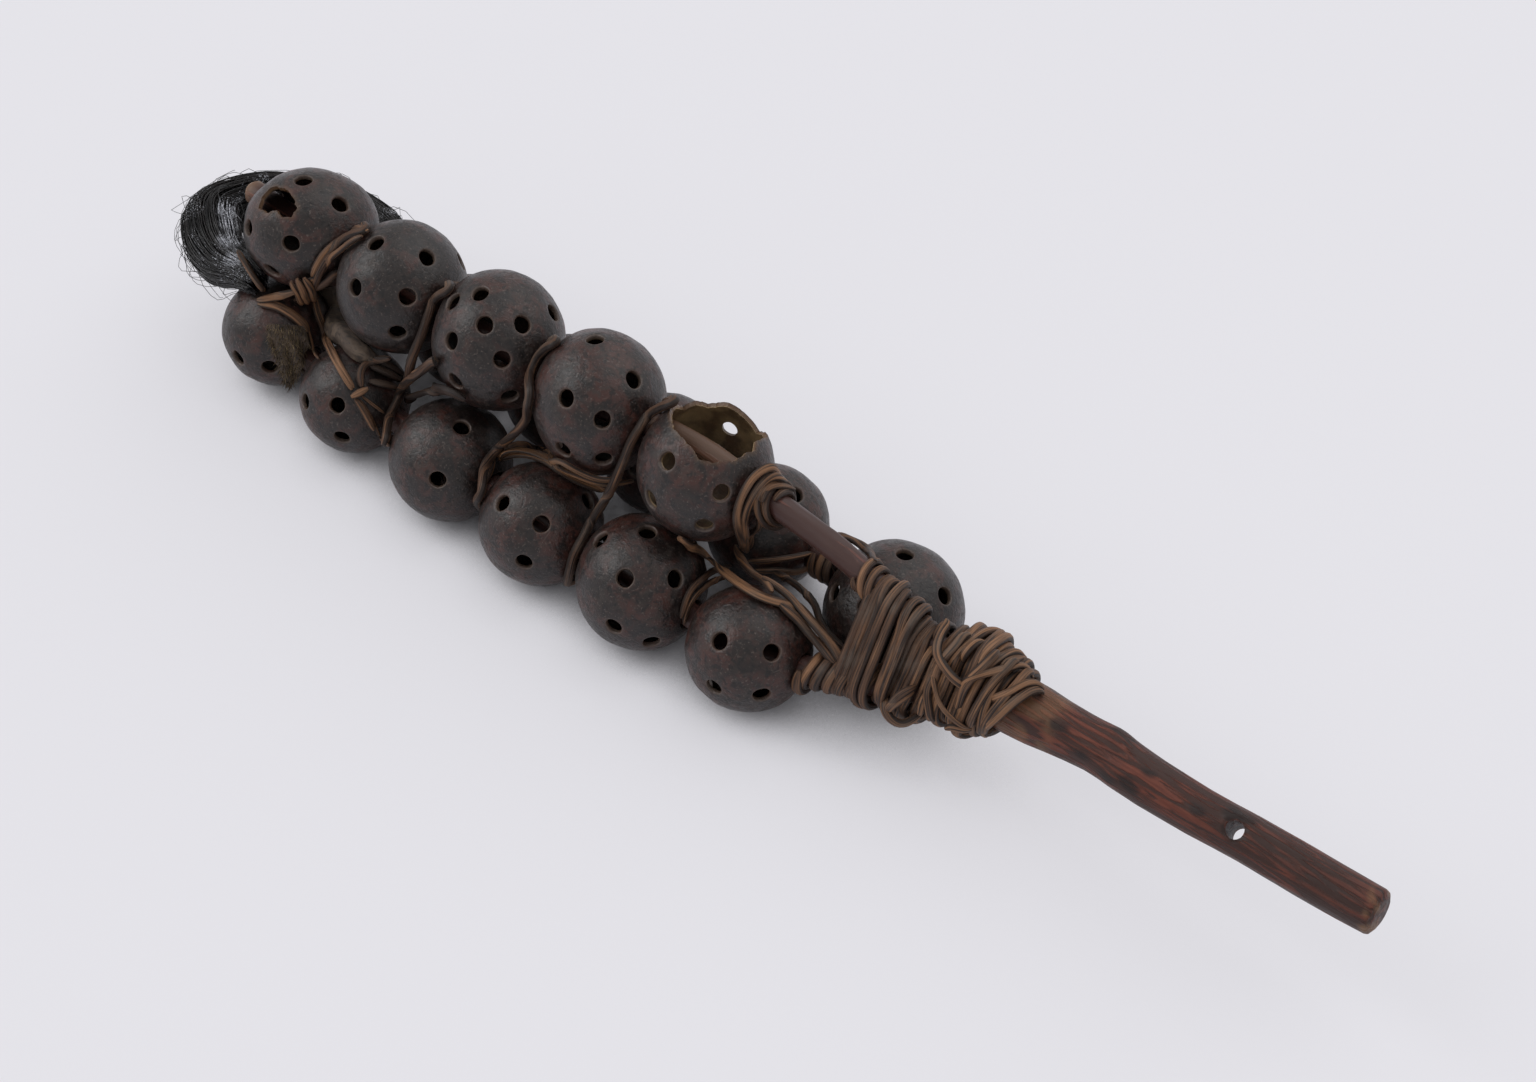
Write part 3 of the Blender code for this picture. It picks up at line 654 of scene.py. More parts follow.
@dataclass(frozen=True)
class ShellFinish:
    """Smoke-darkened fruit shell: dark skin mottled brown and grey, with fine specks and scratches, rims that
    are pale partly from wear and partly from a painted highlight, and a pale inside that carries painted
    light and shade.
    """

    skin: Colour = srgb(33, 26, 24)
    mottle: Colour = srgb(65, 38, 32)
    bloom: Colour = srgb(54, 46, 42)
    soot: Colour = srgb(17, 14, 14)
    speck: Colour = srgb(104, 92, 86)
    # Pale rim colour: partly wear, partly a painted highlight on the rounded hole edges.
    worn: Colour = srgb(100, 84, 74)
    # Pale inner side: its own colour, laid on as far as the mesh's inside share, which is painted light and
    # shade.
    inside: Colour = srgb(168, 142, 104)
    inside_stain: Colour = srgb(112, 90, 64)
    broken: Colour = srgb(104, 78, 56)
    mottle_size: float = 0.009
    bloom_size: float = 0.0045
    soot_size: float = 0.0024
    speck_size: float = 0.0010
    scratch_size: float = 0.0014
    pit_size: float = 0.0008
    vein_size: float = 0.0050
    scratch_turns: tuple = (0.4, 1.7, 2.6)
    scratch_stretch: tuple = (0.05, 1.0, 1.0)
    relief: float = 0.00040
    sheen: float = 0.30
    gloss: float = 0.46

    def material(self) -> Material:
        """Material of all the shells.

        Returns:
            The material.
        """
        kit = MaterialKit("fruit_shell")
        clouds = kit.total(kit.noise(self.mottle_size, 8.0, distortion=0.8), kit.attribute("tone"))
        bloom = kit.smooth(kit.noise(self.bloom_size, 9.0, distortion=1.2), 0.46, 0.70, 0.65)
        soot = kit.smooth(kit.noise(self.soot_size, 6.0, distortion=0.5), 0.50, 0.64, 0.75)
        speck = kit.smooth(kit.noise(self.speck_size, 3.0), 0.58, 0.72, 0.45)
        scratches = []
        for turn in self.scratch_turns:
            turns = {"Vector": kit.where, "Rotation": (turn, turn * 0.7, turn * 1.9)}
            turned = kit.add("ShaderNodeMapping", turns).outputs["Vector"]
            lines = kit.noise(self.scratch_size, 3.0, kit.stretched(self.scratch_stretch, turned))
            scratches.append(kit.smooth(lines, 0.69, 0.76, 0.35))
        scratch = kit.total(*scratches)
        pits = kit.noise(self.pit_size, 3.0)
        veins = kit.noise(self.vein_size, 8.0, distortion=1.5)
        stain = kit.smooth(kit.noise(self.mottle_size, 5.0), 0.40, 0.62)
        colour = kit.mix(kit.smooth(clouds, 0.40, 0.66), self.skin, self.mottle)
        colour = kit.mix(bloom, colour, self.bloom)
        colour = kit.mix(soot, colour, self.soot)
        colour = kit.mix(kit.math("MINIMUM", kit.total(speck, scratch), 0.6), colour, self.speck)
        # Painted highlight and wear: the rounded rims of the holes are laid pale.
        colour = kit.mix(kit.times(kit.attribute("rim"), 0.50), colour, self.worn)
        inside = kit.mix(stain, self.inside, self.inside_stain)
        # Inner side: pale where the mesh lays painted light on it, near the skin colour where it lays painted
        # shade.
        colour = kit.mix(kit.attribute("inside"), colour, inside)
        colour = kit.mix(kit.attribute("broken"), colour, self.broken)
        roughness = kit.total(kit.smooth(bloom, 0.0, 0.60, 0.16), kit.smooth(pits, 0.3, 0.8, 0.14),
                              kit.smooth(kit.attribute("inside"), 0.0, 1.0, 0.2), self.sheen)
        height = kit.total(kit.times(pits, 0.40), kit.times(veins, 0.70), kit.times(soot, -0.14),
                           kit.times(scratch, -0.10))
        return kit.finish(colour, roughness, height, self.relief, Specular_IOR_Level=self.gloss)


@dataclass
class Skin:
    """Points of a shell's skin.

    Attributes:
        ways: their directions from the shell's centre.
        drops: depth of each under the skin.
        owners: number of the opening whose rim each is on, or -1.
        loops: numbers of the points along each opening's rim.
    """

    ways: Array
    drops: Array
    owners: Array
    loops: list[list[int]]


@dataclass
class FruitShells:
    """The pierced shells of the three rows."""

    view: View
    sticks: "Sticks"
    finish: ShellFinish = field(default_factory=ShellFinish)
    slide: float = 0.0045
    play: float = 0.0016
    give: float = 0.0004
    wall: float = 0.0018
    spacing: float = 0.0016
    rim_points: int = 28
    rim_rings: tuple = ((0.0, 0.00050), (0.00022, 0.00018), (0.00050, 0.00003), (0.00130, 0.0))
    rim_uneven: float = 0.07
    hole_share: float = 0.97
    chip: float = 0.0007
    chip_step: float = 0.0007
    chip_share: float = 0.2
    chip_grain: tuple = (14, 45)
    chip_fine: float = 0.6
    chip_pale: float = 0.4
    lumps: tuple = ((2.1, 0.00045), (5.5, 0.00016), (14.0, 0.00006))
    apart: float = 3.7
    weld: float = 1e-7
    sink: float = 0.00025
    fold: float = 0.6
    break_clear: float = 0.6
    hole_clear: float = 0.5
    steep: float = 0.9
    rounds: int = 40
    blind: float = 1.6
    # Break width above which the inside is painted as lit; share of the pale inside that closed shells get,
    # as painted shade; and the painted light's least share, rise towards the top and floor.
    gaping: float = 0.5
    closed_inside_shade: float = 0.12
    light: tuple = (0.65, 0.6, 0.3)
    tone: float = 0.10
    places: dict[str, ShellPlace] = field(default_factory=dict)

    SEEN = {
        "top_1": Disc(312, 229, 67, 60), "top_2": Disc(402, 287, 65, 67), "top_3": Disc(500, 341, 67, 71),
        "top_4": Disc(601, 397, 68, 74), "top_5": Disc(706, 469, 70, 73),
        "front_1": Disc(279, 330, 55, 55), "front_2": Disc(355, 398, 55, 55),
        "front_3": Disc(451, 460, 62, 62), "front_4": Disc(539, 527, 63, 63),
        "front_5": Disc(642, 582, 67, 70), "front_6": Disc(749, 648, 65, 65),
        "rear_5": Disc(768, 526, 63, 64), "rear_6": Disc(894, 612, 72, 73),
    }
    BREAKS = {
        "top_1": ((258, 208), (262, 197), (270, 188), (276, 186), (288, 190), (294, 199), (297, 208),
                  (291, 217), (281, 217), (276, 210), (267, 213)),
        "top_5": ((669, 415), (683, 406, True), (695, 400, True), (708, 403, True), (729, 402, True),
                  (748, 415, True), (760, 431, True), (768, 438), (758, 440), (756, 450), (748, 452),
                  (744, 456), (732, 462), (727, 460), (713, 463), (698, 459), (693, 449), (671, 426)),
    }
    BLIND = {"top_1": (271, 267), "front_1": (241, 357)}

    def measure(self) -> None:
        """Measure every shell of the frame and stand it where the photograph shows it."""
        self.places = {name: ShellPlace.measured(name) for name in names_of("shell_")}
        for name, disc in self.SEEN.items():
            self.settle(self.places[name], disc)
        self.part()
        for place in self.places.values():
            self.turn_bores(place)
        for name, pixels in self.BREAKS.items():
            self.set_break(self.places[name], pixels)
        for name, pixel in self.BLIND.items():
            self.close_behind(self.places[name], pixel)

    def settle(self, place: ShellPlace, disc: Disc) -> None:
        """Slide a shell along its stick, and move it a little on it, to its outline in the photograph.

        Args:
            place: the shell.
            disc: its outline.
        """
        ray = self.view.ray(disc.x, disc.y)
        off = place.centre - self.view.place()
        shift = ray * (off @ ray) - off
        first, second = (opening.middle() for opening in place.bores())
        axis = unit(first - second)
        beside_ray = ray - axis * (ray @ axis)
        beside = shift - axis * (shift @ axis)
        shift = shift - ray * (beside @ beside_ray) / (beside_ray @ beside_ray)
        beside = shift - axis * (shift @ axis)
        beside *= min(1.0, self.play / np.linalg.norm(beside))
        along = float(np.clip(shift @ axis, -self.slide, self.slide))
        place.centre = place.centre + axis * along + beside
        turn = self.view.turn()
        right = np.array(turn @ Vector((1.0, 0.0, 0.0)))
        up = np.array(turn @ Vector((0.0, 1.0, 0.0)))
        pixels = place.radius / (np.linalg.norm(off) * self.view.pixel())
        place.stretch = (np.eye(3) + (disc.half_width / pixels - 1) * np.outer(right, right)
                         + (disc.half_height / pixels - 1) * np.outer(up, up))

    def part(self) -> None:
        """Move shells that enter each other apart."""
        places = list(self.places.values())
        for _ in range(self.rounds):
            for number, first in enumerate(places):
                for second in places[number + 1:]:
                    gap = second.centre - first.centre
                    reach = float(np.linalg.norm(gap))
                    short = first.radius + second.radius - self.give - reach
                    if short > 0:
                        push = gap / reach * short / 2
                        first.centre = first.centre - push
                        second.centre = second.centre + push

    def turn_bores(self, place: ShellPlace) -> None:
        """Turn the bores of a shell to where its stick goes through it.

        Args:
            place: the shell.
        """
        row = place.name.split("_")[0]
        for bore in place.bores():
            old = bore.middle()
            spot, _ = self.sticks.at(row, place.centre[0] + old[0] * place.radius)
            new = Vector(np.linalg.inv(place.stretch) @ (spot - place.centre)).normalized()
            turn = Vector(old).rotation_difference(new)
            bore.rim = np.array([turn @ Vector(way) for way in bore.rim])

    def set_break(self, place: ShellPlace, pixels: tuple) -> None:
        """Give a broken shell its rim along pixels of the photograph, in place of holes that it takes in.

        Args:
            place: the shell.
            pixels: corners of the rim, with True after one on the shell's far side.
        """
        rim = np.array([place.seen_way(self.view, x, y, bool(far)) for x, y, *far in pixels])
        edge = self.broken_rim(Opening(OpeningKind.BREAK, rim), place.radius, 0.0)
        kept = []
        for opening in place.openings:
            middle = opening.middle()
            clear = np.arccos(np.clip(edge @ middle, -1, 1)).min() * place.radius
            apart = clear > opening.angle() * place.radius + self.spacing * 2
            if opening.kind is not OpeningKind.BREAK and apart and not inside_rim(middle[None], rim)[0]:
                kept.append(opening)
        place.openings = [*kept, Opening(OpeningKind.BREAK, rim)]

    def close_behind(self, place: ShellPlace, pixel: tuple) -> None:
        """Leave out the far hole that daylight would show through behind a pixel."""
        way = place.seen_way(self.view, *pixel, True)
        place.openings = [opening for opening in place.openings if opening.kind is not OpeningKind.HOLE
                          or math.acos(opening.middle() @ way) > opening.angle() * self.blind]

    def build(self) -> None:
        """Make every shell and let it stand for its CAD node."""
        material = self.finish.material()
        for number, place in enumerate(self.places.values()):
            piece = self.skin_of(place, number, material)
            settle_in(piece, "shell", f"shell_{place.name}")

    def round_rim(self, opening: Opening, radius: float, seed: float) -> list[Array]:
        """Rings of directions round a drilled opening, from its rim outwards.

        Args:
            opening: the opening.
            radius: radius of the shell.
            seed: number that varies the rim.

        Returns:
            The rings.
        """
        middle = opening.middle()
        side, up = side_and_up(middle, (0.0, 0.0, 1.0) if abs(middle[2]) < self.steep else (1.0, 0.0, 0.0))
        turns = np.linspace(0, 2 * math.pi, self.rim_points, endpoint=False)
        flat = np.outer(np.cos(turns), side) + np.outer(np.sin(turns), up)
        uneven = [noise.noise(Vector((math.cos(t), math.sin(t), seed))) for t in turns]
        angle = opening.angle() * self.hole_share * (1 + self.rim_uneven * np.array(uneven))
        rings = []
        for outset, _ in self.rim_rings:
            wide = angle + outset / radius
            rings.append(np.cos(wide)[:, None] * middle + np.sin(wide)[:, None] * flat)
        return rings

    def broken_rim(self, opening: Opening, radius: float, seed: float) -> Array:
        """Directions along a broken rim, with chips between its corners.

        Args:
            opening: the opening.
            radius: radius of the shell.
            seed: number that varies the chips.

        Returns:
            The directions.
        """
        coarse, fine = self.chip_grain
        points = []
        for start, stop in zip(opening.rim, np.roll(opening.rim, -1, axis=0)):
            length = np.linalg.norm(stop - start) * radius
            pieces = max(2, round(length / self.chip_step))
            across = unit(np.cross(stop - start, start))
            chip = min(self.chip, length * self.chip_share)
            for k in range(pieces):
                share = k / pieces
                spot = start + (stop - start) * share
                rough = noise.noise(Vector(spot) * coarse + Vector((seed, 0, 0)))
                rough += self.chip_fine * noise.noise(Vector(spot) * fine + Vector((0, seed, 0)))
                points.append(unit(spot + across * (rough * chip / radius * math.sin(math.pi * share))))
        return np.array(points)

    def skin_of(self, place: ShellPlace, number: int, material: Material) -> Piece:
        """Make one shell with its wall, its rounded hole rims and its broken edges.

        Args:
            place: what was measured on the CAD shell.
            number: number of the shell, which varies its lumps and tone.
            material: finish of the shell.

        Returns:
            The shell.
        """
        seed = number * self.apart
        skin = self.rims(place, seed)
        self.fill(place, skin)
        return self.walled(place, skin, self.faces_between(place, skin), seed, material)

    def rims(self, place: ShellPlace, seed: float) -> Skin:
        """Points round all the openings of a shell.

        Args:
            place: the shell.
            seed: number that varies the rims.

        Returns:
            A skin of these points only.
        """
        ways = []
        drops = []
        owners = []
        loops = []
        for index, opening in enumerate(place.openings):
            broken = opening.kind is OpeningKind.BREAK
            if broken:
                rings = [self.broken_rim(opening, place.radius, seed + index)]
            else:
                rings = self.round_rim(opening, place.radius, seed + index)
            loops.append(list(range(len(ways), len(ways) + len(rings[0]))))
            for ring, (_, drop) in zip(rings, self.rim_rings):
                ways.extend(ring)
                drops.extend([0.0 if broken else drop] * len(ring))
                owners.extend([index if ring is rings[0] else -1] * len(ring))
        return Skin(np.array(ways), np.array(drops), np.array(owners), loops)

    def fill(self, place: ShellPlace, skin: Skin) -> None:
        """Add an even spread of points over the rest of a shell.

        Args:
            place: the shell.
            skin: its points so far.
        """
        count = round(4 * math.pi * place.radius ** 2 / (self.spacing ** 2 * math.sqrt(3) / 2))
        k = np.arange(count)
        z = 1 - (2 * k + 1) / count
        flat = np.sqrt(1 - z * z)
        golden = math.pi * (3 - math.sqrt(5))
        spread = np.column_stack((flat * np.cos(golden * k), flat * np.sin(golden * k), z))
        keep = np.ones(count, dtype=bool)
        near = math.cos(self.spacing * self.break_clear / place.radius)
        margin = (self.rim_rings[-1][0] + self.spacing * self.hole_clear) / place.radius
        for opening, loop in zip(place.openings, skin.loops):
            if opening.kind is OpeningKind.BREAK:
                keep &= ~inside_rim(spread, skin.ways[loop])
                keep &= (spread @ skin.ways[loop].T).max(axis=1) < near
            else:
                keep &= spread @ opening.middle() < math.cos(opening.angle() + margin)
        added = keep.sum()
        skin.ways = np.concatenate((skin.ways, spread[keep]))
        skin.drops = np.concatenate((skin.drops, np.zeros(added)))
        skin.owners = np.concatenate((skin.owners, np.full(added, -1)))

    def faces_between(self, place: ShellPlace, skin: Skin) -> Array:
        """Triangles between the points, outside the openings, drawn flat from the middle of a bore.

        Args:
            place: the shell.
            skin: its points.

        Returns:
            Point numbers of each triangle.
        """
        pole = place.bores()[0].middle()
        side, up = side_and_up(pole, (0.0, 0.0, 1.0))
        flat = np.column_stack((skin.ways @ side, skin.ways @ up)) / (1 - skin.ways @ pole)[:, None]
        edges = [(a, b) for loop in skin.loops for a, b in zip(loop, loop[1:] + loop[:1])]
        found = delaunay_2d_cdt([Vector(point) for point in flat], edges, [], 0, self.weld)
        origin = np.array([originals[0] for originals in found[3]])
        faces = origin[np.array(found[2])]
        corners = skin.ways[faces]
        normal = np.cross(corners[:, 1] - corners[:, 0], corners[:, 2] - corners[:, 0])
        turned = (normal * corners.mean(axis=1)).sum(axis=1) < 0
        faces[turned] = faces[turned][:, ::-1]
        keep = np.ones(len(faces), dtype=bool)
        for index, (opening, loop) in enumerate(zip(place.openings, skin.loops)):
            own = (skin.owners[faces] == index).all(axis=1)
            if opening.kind is OpeningKind.BREAK:
                own[own] = inside_rim(corners[own].mean(axis=1), skin.ways[loop])
            keep &= ~own
        return faces[keep]

    def walled(self, place: ShellPlace, skin: Skin, faces: Array, seed: float, material: Material) -> Piece:
        """Give the skin its lumps, its inner side and the walls of its openings.

        Args:
            place: the shell.
            skin: points of its skin.
            faces: triangles between them.
            seed: number that varies its lumps and tone.
            material: finish of the shell.

        Returns:
            The shell.
        """
        count = len(skin.ways)
        lump = np.zeros(count)
        shift = Vector((seed, 1.7, 0))
        for fineness, height in self.lumps:
            lump += [height * noise.noise(Vector(way) * fineness + shift) for way in skin.ways]
        reach = place.radius - self.sink + np.minimum(lump, self.sink)
        stretched = skin.ways @ place.stretch
        outer, inner, halfway = (place.centre + stretched * (reach - depth)[:, None]
                                 for depth in (skin.drops, self.wall, self.wall * self.fold))
        rims = open_edges(faces.tolist())
        middle_of = {a: count * 2 + k for k, (a, _) in enumerate(rims)}
        edge = list(middle_of)
        vertices = np.concatenate((outer, inner, halfway[edge]))
        every = faces.tolist() + (faces[:, ::-1] + count).tolist()
        for a, b in rims:
            every.append((b, a, middle_of[a], middle_of[b]))
            every.append((middle_of[b], middle_of[a], a + count, b + count))
        breaks = [k for k, opening in enumerate(place.openings) if opening.kind is OpeningKind.BREAK]
        broken = np.isin(skin.owners, breaks).astype(float)
        # Painted light inside: the inner side is laid paler towards the top, and in shells without a wide
        # break it is kept dark as painted shade.
        gaping = any(place.openings[k].angle() > self.gaping for k in breaks)
        least, rise, dim = self.light
        lit = np.clip(least + rise * skin.ways[:, 2], dim, 1.0) * (1.0 if gaping else self.closed_inside_shade)
        none = np.zeros(count)
        # Share for the pale rims, which are partly wear and partly a painted highlight.
        worn = np.minimum(skin.drops / self.rim_rings[1][1], 1.0)
        attributes = {
            "rim": np.concatenate((worn, none, 1 - broken[edge])),
            "inside": np.concatenate((none, lit, none[edge])),
            "broken": np.concatenate((broken * self.chip_pale, none, broken[edge])),
            "tone": np.full(len(vertices), self.tone * noise.noise(Vector((seed, 0.5, 0.5)))),
        }
        return add_piece(f"fruit_shell_{place.name}", vertices, every, material, attributes)


def inside_rim(ways: Array, rim: Array) -> Array:
    """Which directions lie within a closed rim, seen from the shell's centre.

    Args:
        ways: the directions.
        rim: directions along the rim.

    Returns:
        Whether each direction lies within.
    """
    middle = unit(rim.mean(axis=0))
    side, up = side_and_up(middle, (0.0, 1.0, 0.0))
    facing = ways @ middle
    ahead = facing > 0
    depth = np.where(ahead, facing, 1.0)
    x = ways @ side / depth
    y = ways @ up / depth
    rim_depth = rim @ middle
    rim_x = rim @ side / rim_depth
    rim_y = rim @ up / rim_depth
    inside = np.zeros(len(ways), dtype=bool)
    for x0, y0, x1, y1 in zip(rim_x, rim_y, np.roll(rim_x, -1), np.roll(rim_y, -1)):
        if y0 != y1:
            crosses = (y0 > y) != (y1 > y)
            inside ^= crosses & (x < x0 + (x1 - x0) * (y - y0) / (y1 - y0))
    return inside & ahead


def eased(points: Array, rounds: int) -> Array:
    """Rows softened against their neighbours, with both ends kept.

    Args:
        points: rows along a path.
        rounds: how often they are softened.

    Returns:
        The softened rows.
    """
    result = points.copy()
    for _ in range(rounds):
        result[1:-1] = (result[:-2] + 2 * result[1:-1] + result[2:]) / 4
    return result


def resampled(points: Array, carried: Array, step: float) -> tuple[Array, Array]:
    """Points and the rows that they carry, at even steps along their path.

    Args:
        points: points of the path.
        carried: rows that they carry.
        step: distance between new points.

    Returns:
        The new points and what they carry.
    """
    lengths = np.concatenate(((0.0,), np.cumsum(np.linalg.norm(np.diff(points, axis=0), axis=1))))
    count = max(2, round(lengths[-1] / step) + 1)
    places = np.linspace(0, lengths[-1], count)
    moved = [np.column_stack([np.interp(places, lengths, rows[:, k]) for k in range(rows.shape[1])])
             for rows in (points, carried)]
    return moved[0], moved[1]


def curved(points: Array, step: float) -> Array:
    """Points of a smooth curve through the given ones, about one step apart.

    Args:
        points: points that it passes through.
        step: about how far apart its points lie.

    Returns:
        Points of the curve.
    """
    ends = np.concatenate((points[:1] * 2 - points[1:2], points, points[-1:] * 2 - points[-2:-1]))
    path = []
    for before, start, stop, after in zip(ends, ends[1:], ends[2:], ends[3:]):
        pieces = max(1, round(float(np.linalg.norm(stop - start)) / step))
        for k in range(pieces):
            t = k / pieces
            drift = (stop - before) * t
            ease = (before * 2 - start * 5 + stop * 4 - after) * t ** 2
            turn = (start * 3 - before - stop * 3 + after) * t ** 3
            path.append(start + (drift + ease + turn) / 2)
    path.append(points[-1])
    return np.array(path)


def skin_noise(along: float, turn: float, waves: tuple[float, float], seed: float = 0.0) -> float:
    """Noise on a round skin.

    Args:
        along: place along the piece.
        turn: angle about it in radians.
        waves: how fine the noise is along the piece and about it.
        seed: number that varies the noise.

    Returns:
        A number from -1 to 1.
    """
    length, about = waves
    return noise.noise(Vector((along * length, math.cos(turn) * about + seed, math.sin(turn) * about)))


def tube(path: Array, radii: Array, sides: int, rough: Callable[[float, float], float]) -> tuple:
    """Skin of a closed round piece along a path.

    Args:
        path: points of its middle line.
        radii: radius at each point.
        sides: corners of each ring.
        rough: height of the relief at a share of the length and an angle in radians.

    Returns:
        The vertices, the faces, and the share of the length at each vertex.
    """
    ahead = unit(np.gradient(path, axis=0))
    up = unit(np.array((0.0, 0.0, 1.0)) - ahead * ahead[:, 2:])
    side = np.cross(ahead, up)
    turns = np.linspace(0, 2 * math.pi, sides, endpoint=False)
    count = len(path)
    vertices = []
    for k in range(count):
        share = k / (count - 1)
        reach = radii[k] + np.array([rough(share, turn) for turn in turns])
        ring = np.outer(np.cos(turns), up[k]) + np.outer(np.sin(turns), side[k])
        vertices.append(path[k] + ring * reach[:, None])
    faces = []
    for k in range(count - 1):
        for i in range(sides):
            after = (i + 1) % sides
            faces.append((k * sides + i, k * sides + after, (k + 1) * sides + after, (k + 1) * sides + i))
    total = count * sides
    faces += [((i + 1) % sides, i, total) for i in range(sides)]
    last = total - sides
    faces += [(last + i, last + (i + 1) % sides, total + 1) for i in range(sides)]
    shares = np.concatenate((np.repeat(np.linspace(0, 1, count), sides), (0.0, 1.0)))
    return np.concatenate((*vertices, path[:1], path[-1:])), faces, shares


@dataclass(frozen=True)
class WoodFinish:
    """Barked stick wood: lengthwise grain with dark fissures, and paler worn places."""

    name: str
    wood: Colour
    grain: Colour
    fissure: Colour
    worn: Colour
    # Dark of the knots' eyes, also laid as painted shade in and round the hanging hole.
    eye: Colour = srgb(22, 16, 15)
    fissure_share: float = 0.62
    fissure_edge: float = 0.13
    grain_size: float = 0.0016
    fissure_size: float = 0.0034
    cloud_size: float = 0.016
    cloud_share: float = 0.45
    stretch: float = 0.07
    relief: float = 0.0004
    gloss: float = 0.45

    def material(self) -> Material:
        """Material with the grain drawn out along X.

        Returns:
            The material.
        """
        kit = MaterialKit(self.name)
        along = kit.stretched((self.stretch, 1.0, 1.0))
        grain = kit.noise(self.grain_size, 5.0, along, 0.3)
        fissure = kit.noise(self.fissure_size, 6.0, along, 0.8)
        cloud = kit.smooth(kit.noise(self.cloud_size, 4.0, kit.stretched((0.4, 1.0, 1.0))), 0.35, 0.65)
        crack = kit.smooth(fissure, self.fissure_share, self.fissure_share - self.fissure_edge)
        split = kit.math("SUBTRACT", 1.0, crack)
        colour = kit.mix(kit.smooth(grain, 0.38, 0.66), self.wood, self.grain)
        colour = kit.mix(kit.times(cloud, self.cloud_share), colour, self.fissure)
        colour = kit.mix(kit.times(split, 0.85), colour, self.fissure)
        colour = kit.mix(kit.attribute("worn"), colour, self.worn)
        colour = kit.mix(kit.attribute("dark"), colour, self.eye)
        roughness = kit.total(kit.smooth(grain, 0.2, 0.8, 0.2), 0.36)
        height = kit.total(kit.times(grain, 0.35), kit.times(split, -0.5))
        return kit.finish(colour, roughness, height, self.relief, Specular_IOR_Level=self.gloss)


@dataclass
class Sticks:
    """The three sticks that the shells are threaded on."""

    finish: WoodFinish = WoodFinish("stick_wood", srgb(98, 55, 45), srgb(110, 70, 58), srgb(54, 34, 30),
                                    srgb(134, 104, 76), fissure_share=0.42, cloud_share=0.30)
    sides: int = 24
    step: float = 0.0020
    stations: int = 80
    easing: int = 4
    uneven: float = 0.00025
    waves: tuple = (22, 1.4)
    apart: float = 5.1
    rounded: float = 0.0016
    worn_slope: float = 60
    worn_end: float = 0.7
    bared: float = 0.30
    middles: dict[str, Array] = field(default_factory=dict)
    reaches: dict[str, Array] = field(default_factory=dict)

    BOW = ((-0.048, 0.0), (-0.024, 0.0052), (0.0, 0.0062), (0.025, 0.0036), (0.060, 0.0020), (0.085, 0.0))
    BOWED = (0.0, 0.62, 0.78)
    TRIM = {"front": 0.0050}
    BROKEN = "shell_top_5"

    def measure(self) -> None:
        """Read the sticks' middle lines and radii from the frame, and bow the top one as it is seen."""
        for row in ("top", "front", "rear"):
            line, reaches = sections(f"stick_{row}", self.stations)
            keep = line[:, 0] > line[0, 0] + self.TRIM.get(row, -1.0)
            self.middles[row] = line[keep]
            self.reaches[row] = reaches[keep]
        low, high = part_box(self.BROKEN)
        places, heights = zip(*self.BOW)
        line = self.middles["top"]
        rise = np.interp(line[:, 0] - (low[0] + high[0]) / 2, places, heights)
        self.middles["top"] = line + np.outer(eased(rise, self.easing), self.BOWED)

    def follow(self, handle: "HandleWood") -> None:
        """Bend the sticks' inner ends with the handle that they lie on."""
        for row, line in self.middles.items():
            self.middles[row] = line + np.array([handle.bend(x) for x in line[:, 0]])

    def at(self, row: str, x: float) -> tuple[Array, float]:
        """Middle and radius of a stick at x.

        Args:
            row: row that the stick carries.
            x: place along X.

        Returns:
            The middle and the radius.
        """
        line = self.middles[row]
        y = np.interp(x, line[:, 0], line[:, 1])
        z = np.interp(x, line[:, 0], line[:, 2])
        return np.array((x, y, z)), float(np.interp(x, line[:, 0], self.reaches[row]))

    def end(self, row: str) -> float:
        """Where a stick ends on the handle."""
        return float(self.middles[row][-1, 0])

    def skin(self, number: int, share: float, turn: float) -> float:
        """Relief of a peeled stick at a share of its length and an angle in radians."""
        return self.uneven * skin_noise(share, turn, self.waves, number * self.apart)

    def build(self) -> None:
        """Make the sticks with uneven skins and rounded ends."""
        material = self.finish.material()
        low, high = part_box(self.BROKEN)
        for number, (row, line) in enumerate(self.middles.items()):
            path, radii = resampled(eased(line, self.easing), self.reaches[row][:, None], self.step)
            inset = from_ends(len(path), self.step)
            radii = radii[:, 0] - self.rounded * np.clip(1 - inset / self.rounded, 0, 1) ** 2
            vertices, faces, shares = tube(path, radii, self.sides, partial(self.skin, number))
            worn = np.clip(1 - shares * self.worn_slope, 0, 1) * self.worn_end
            if row == "top":
                x = vertices[:, 0]
                worn = np.maximum(worn, self.bared * ((x > low[0]) & (x < high[0])))
            marks = {"worn": worn, "dark": np.zeros(len(vertices))}
            piece = add_piece(f"row_stick_{row}", vertices, faces, material, marks)
            settle_in(piece, "stick", f"stick_{row}")


class Knot(NamedTuple):
    """Knot or dark spot of the handle, at a pixel of the photograph."""

    x: float
    y: float
    height: float
    half_length: float
    half_width: float
    stain: float


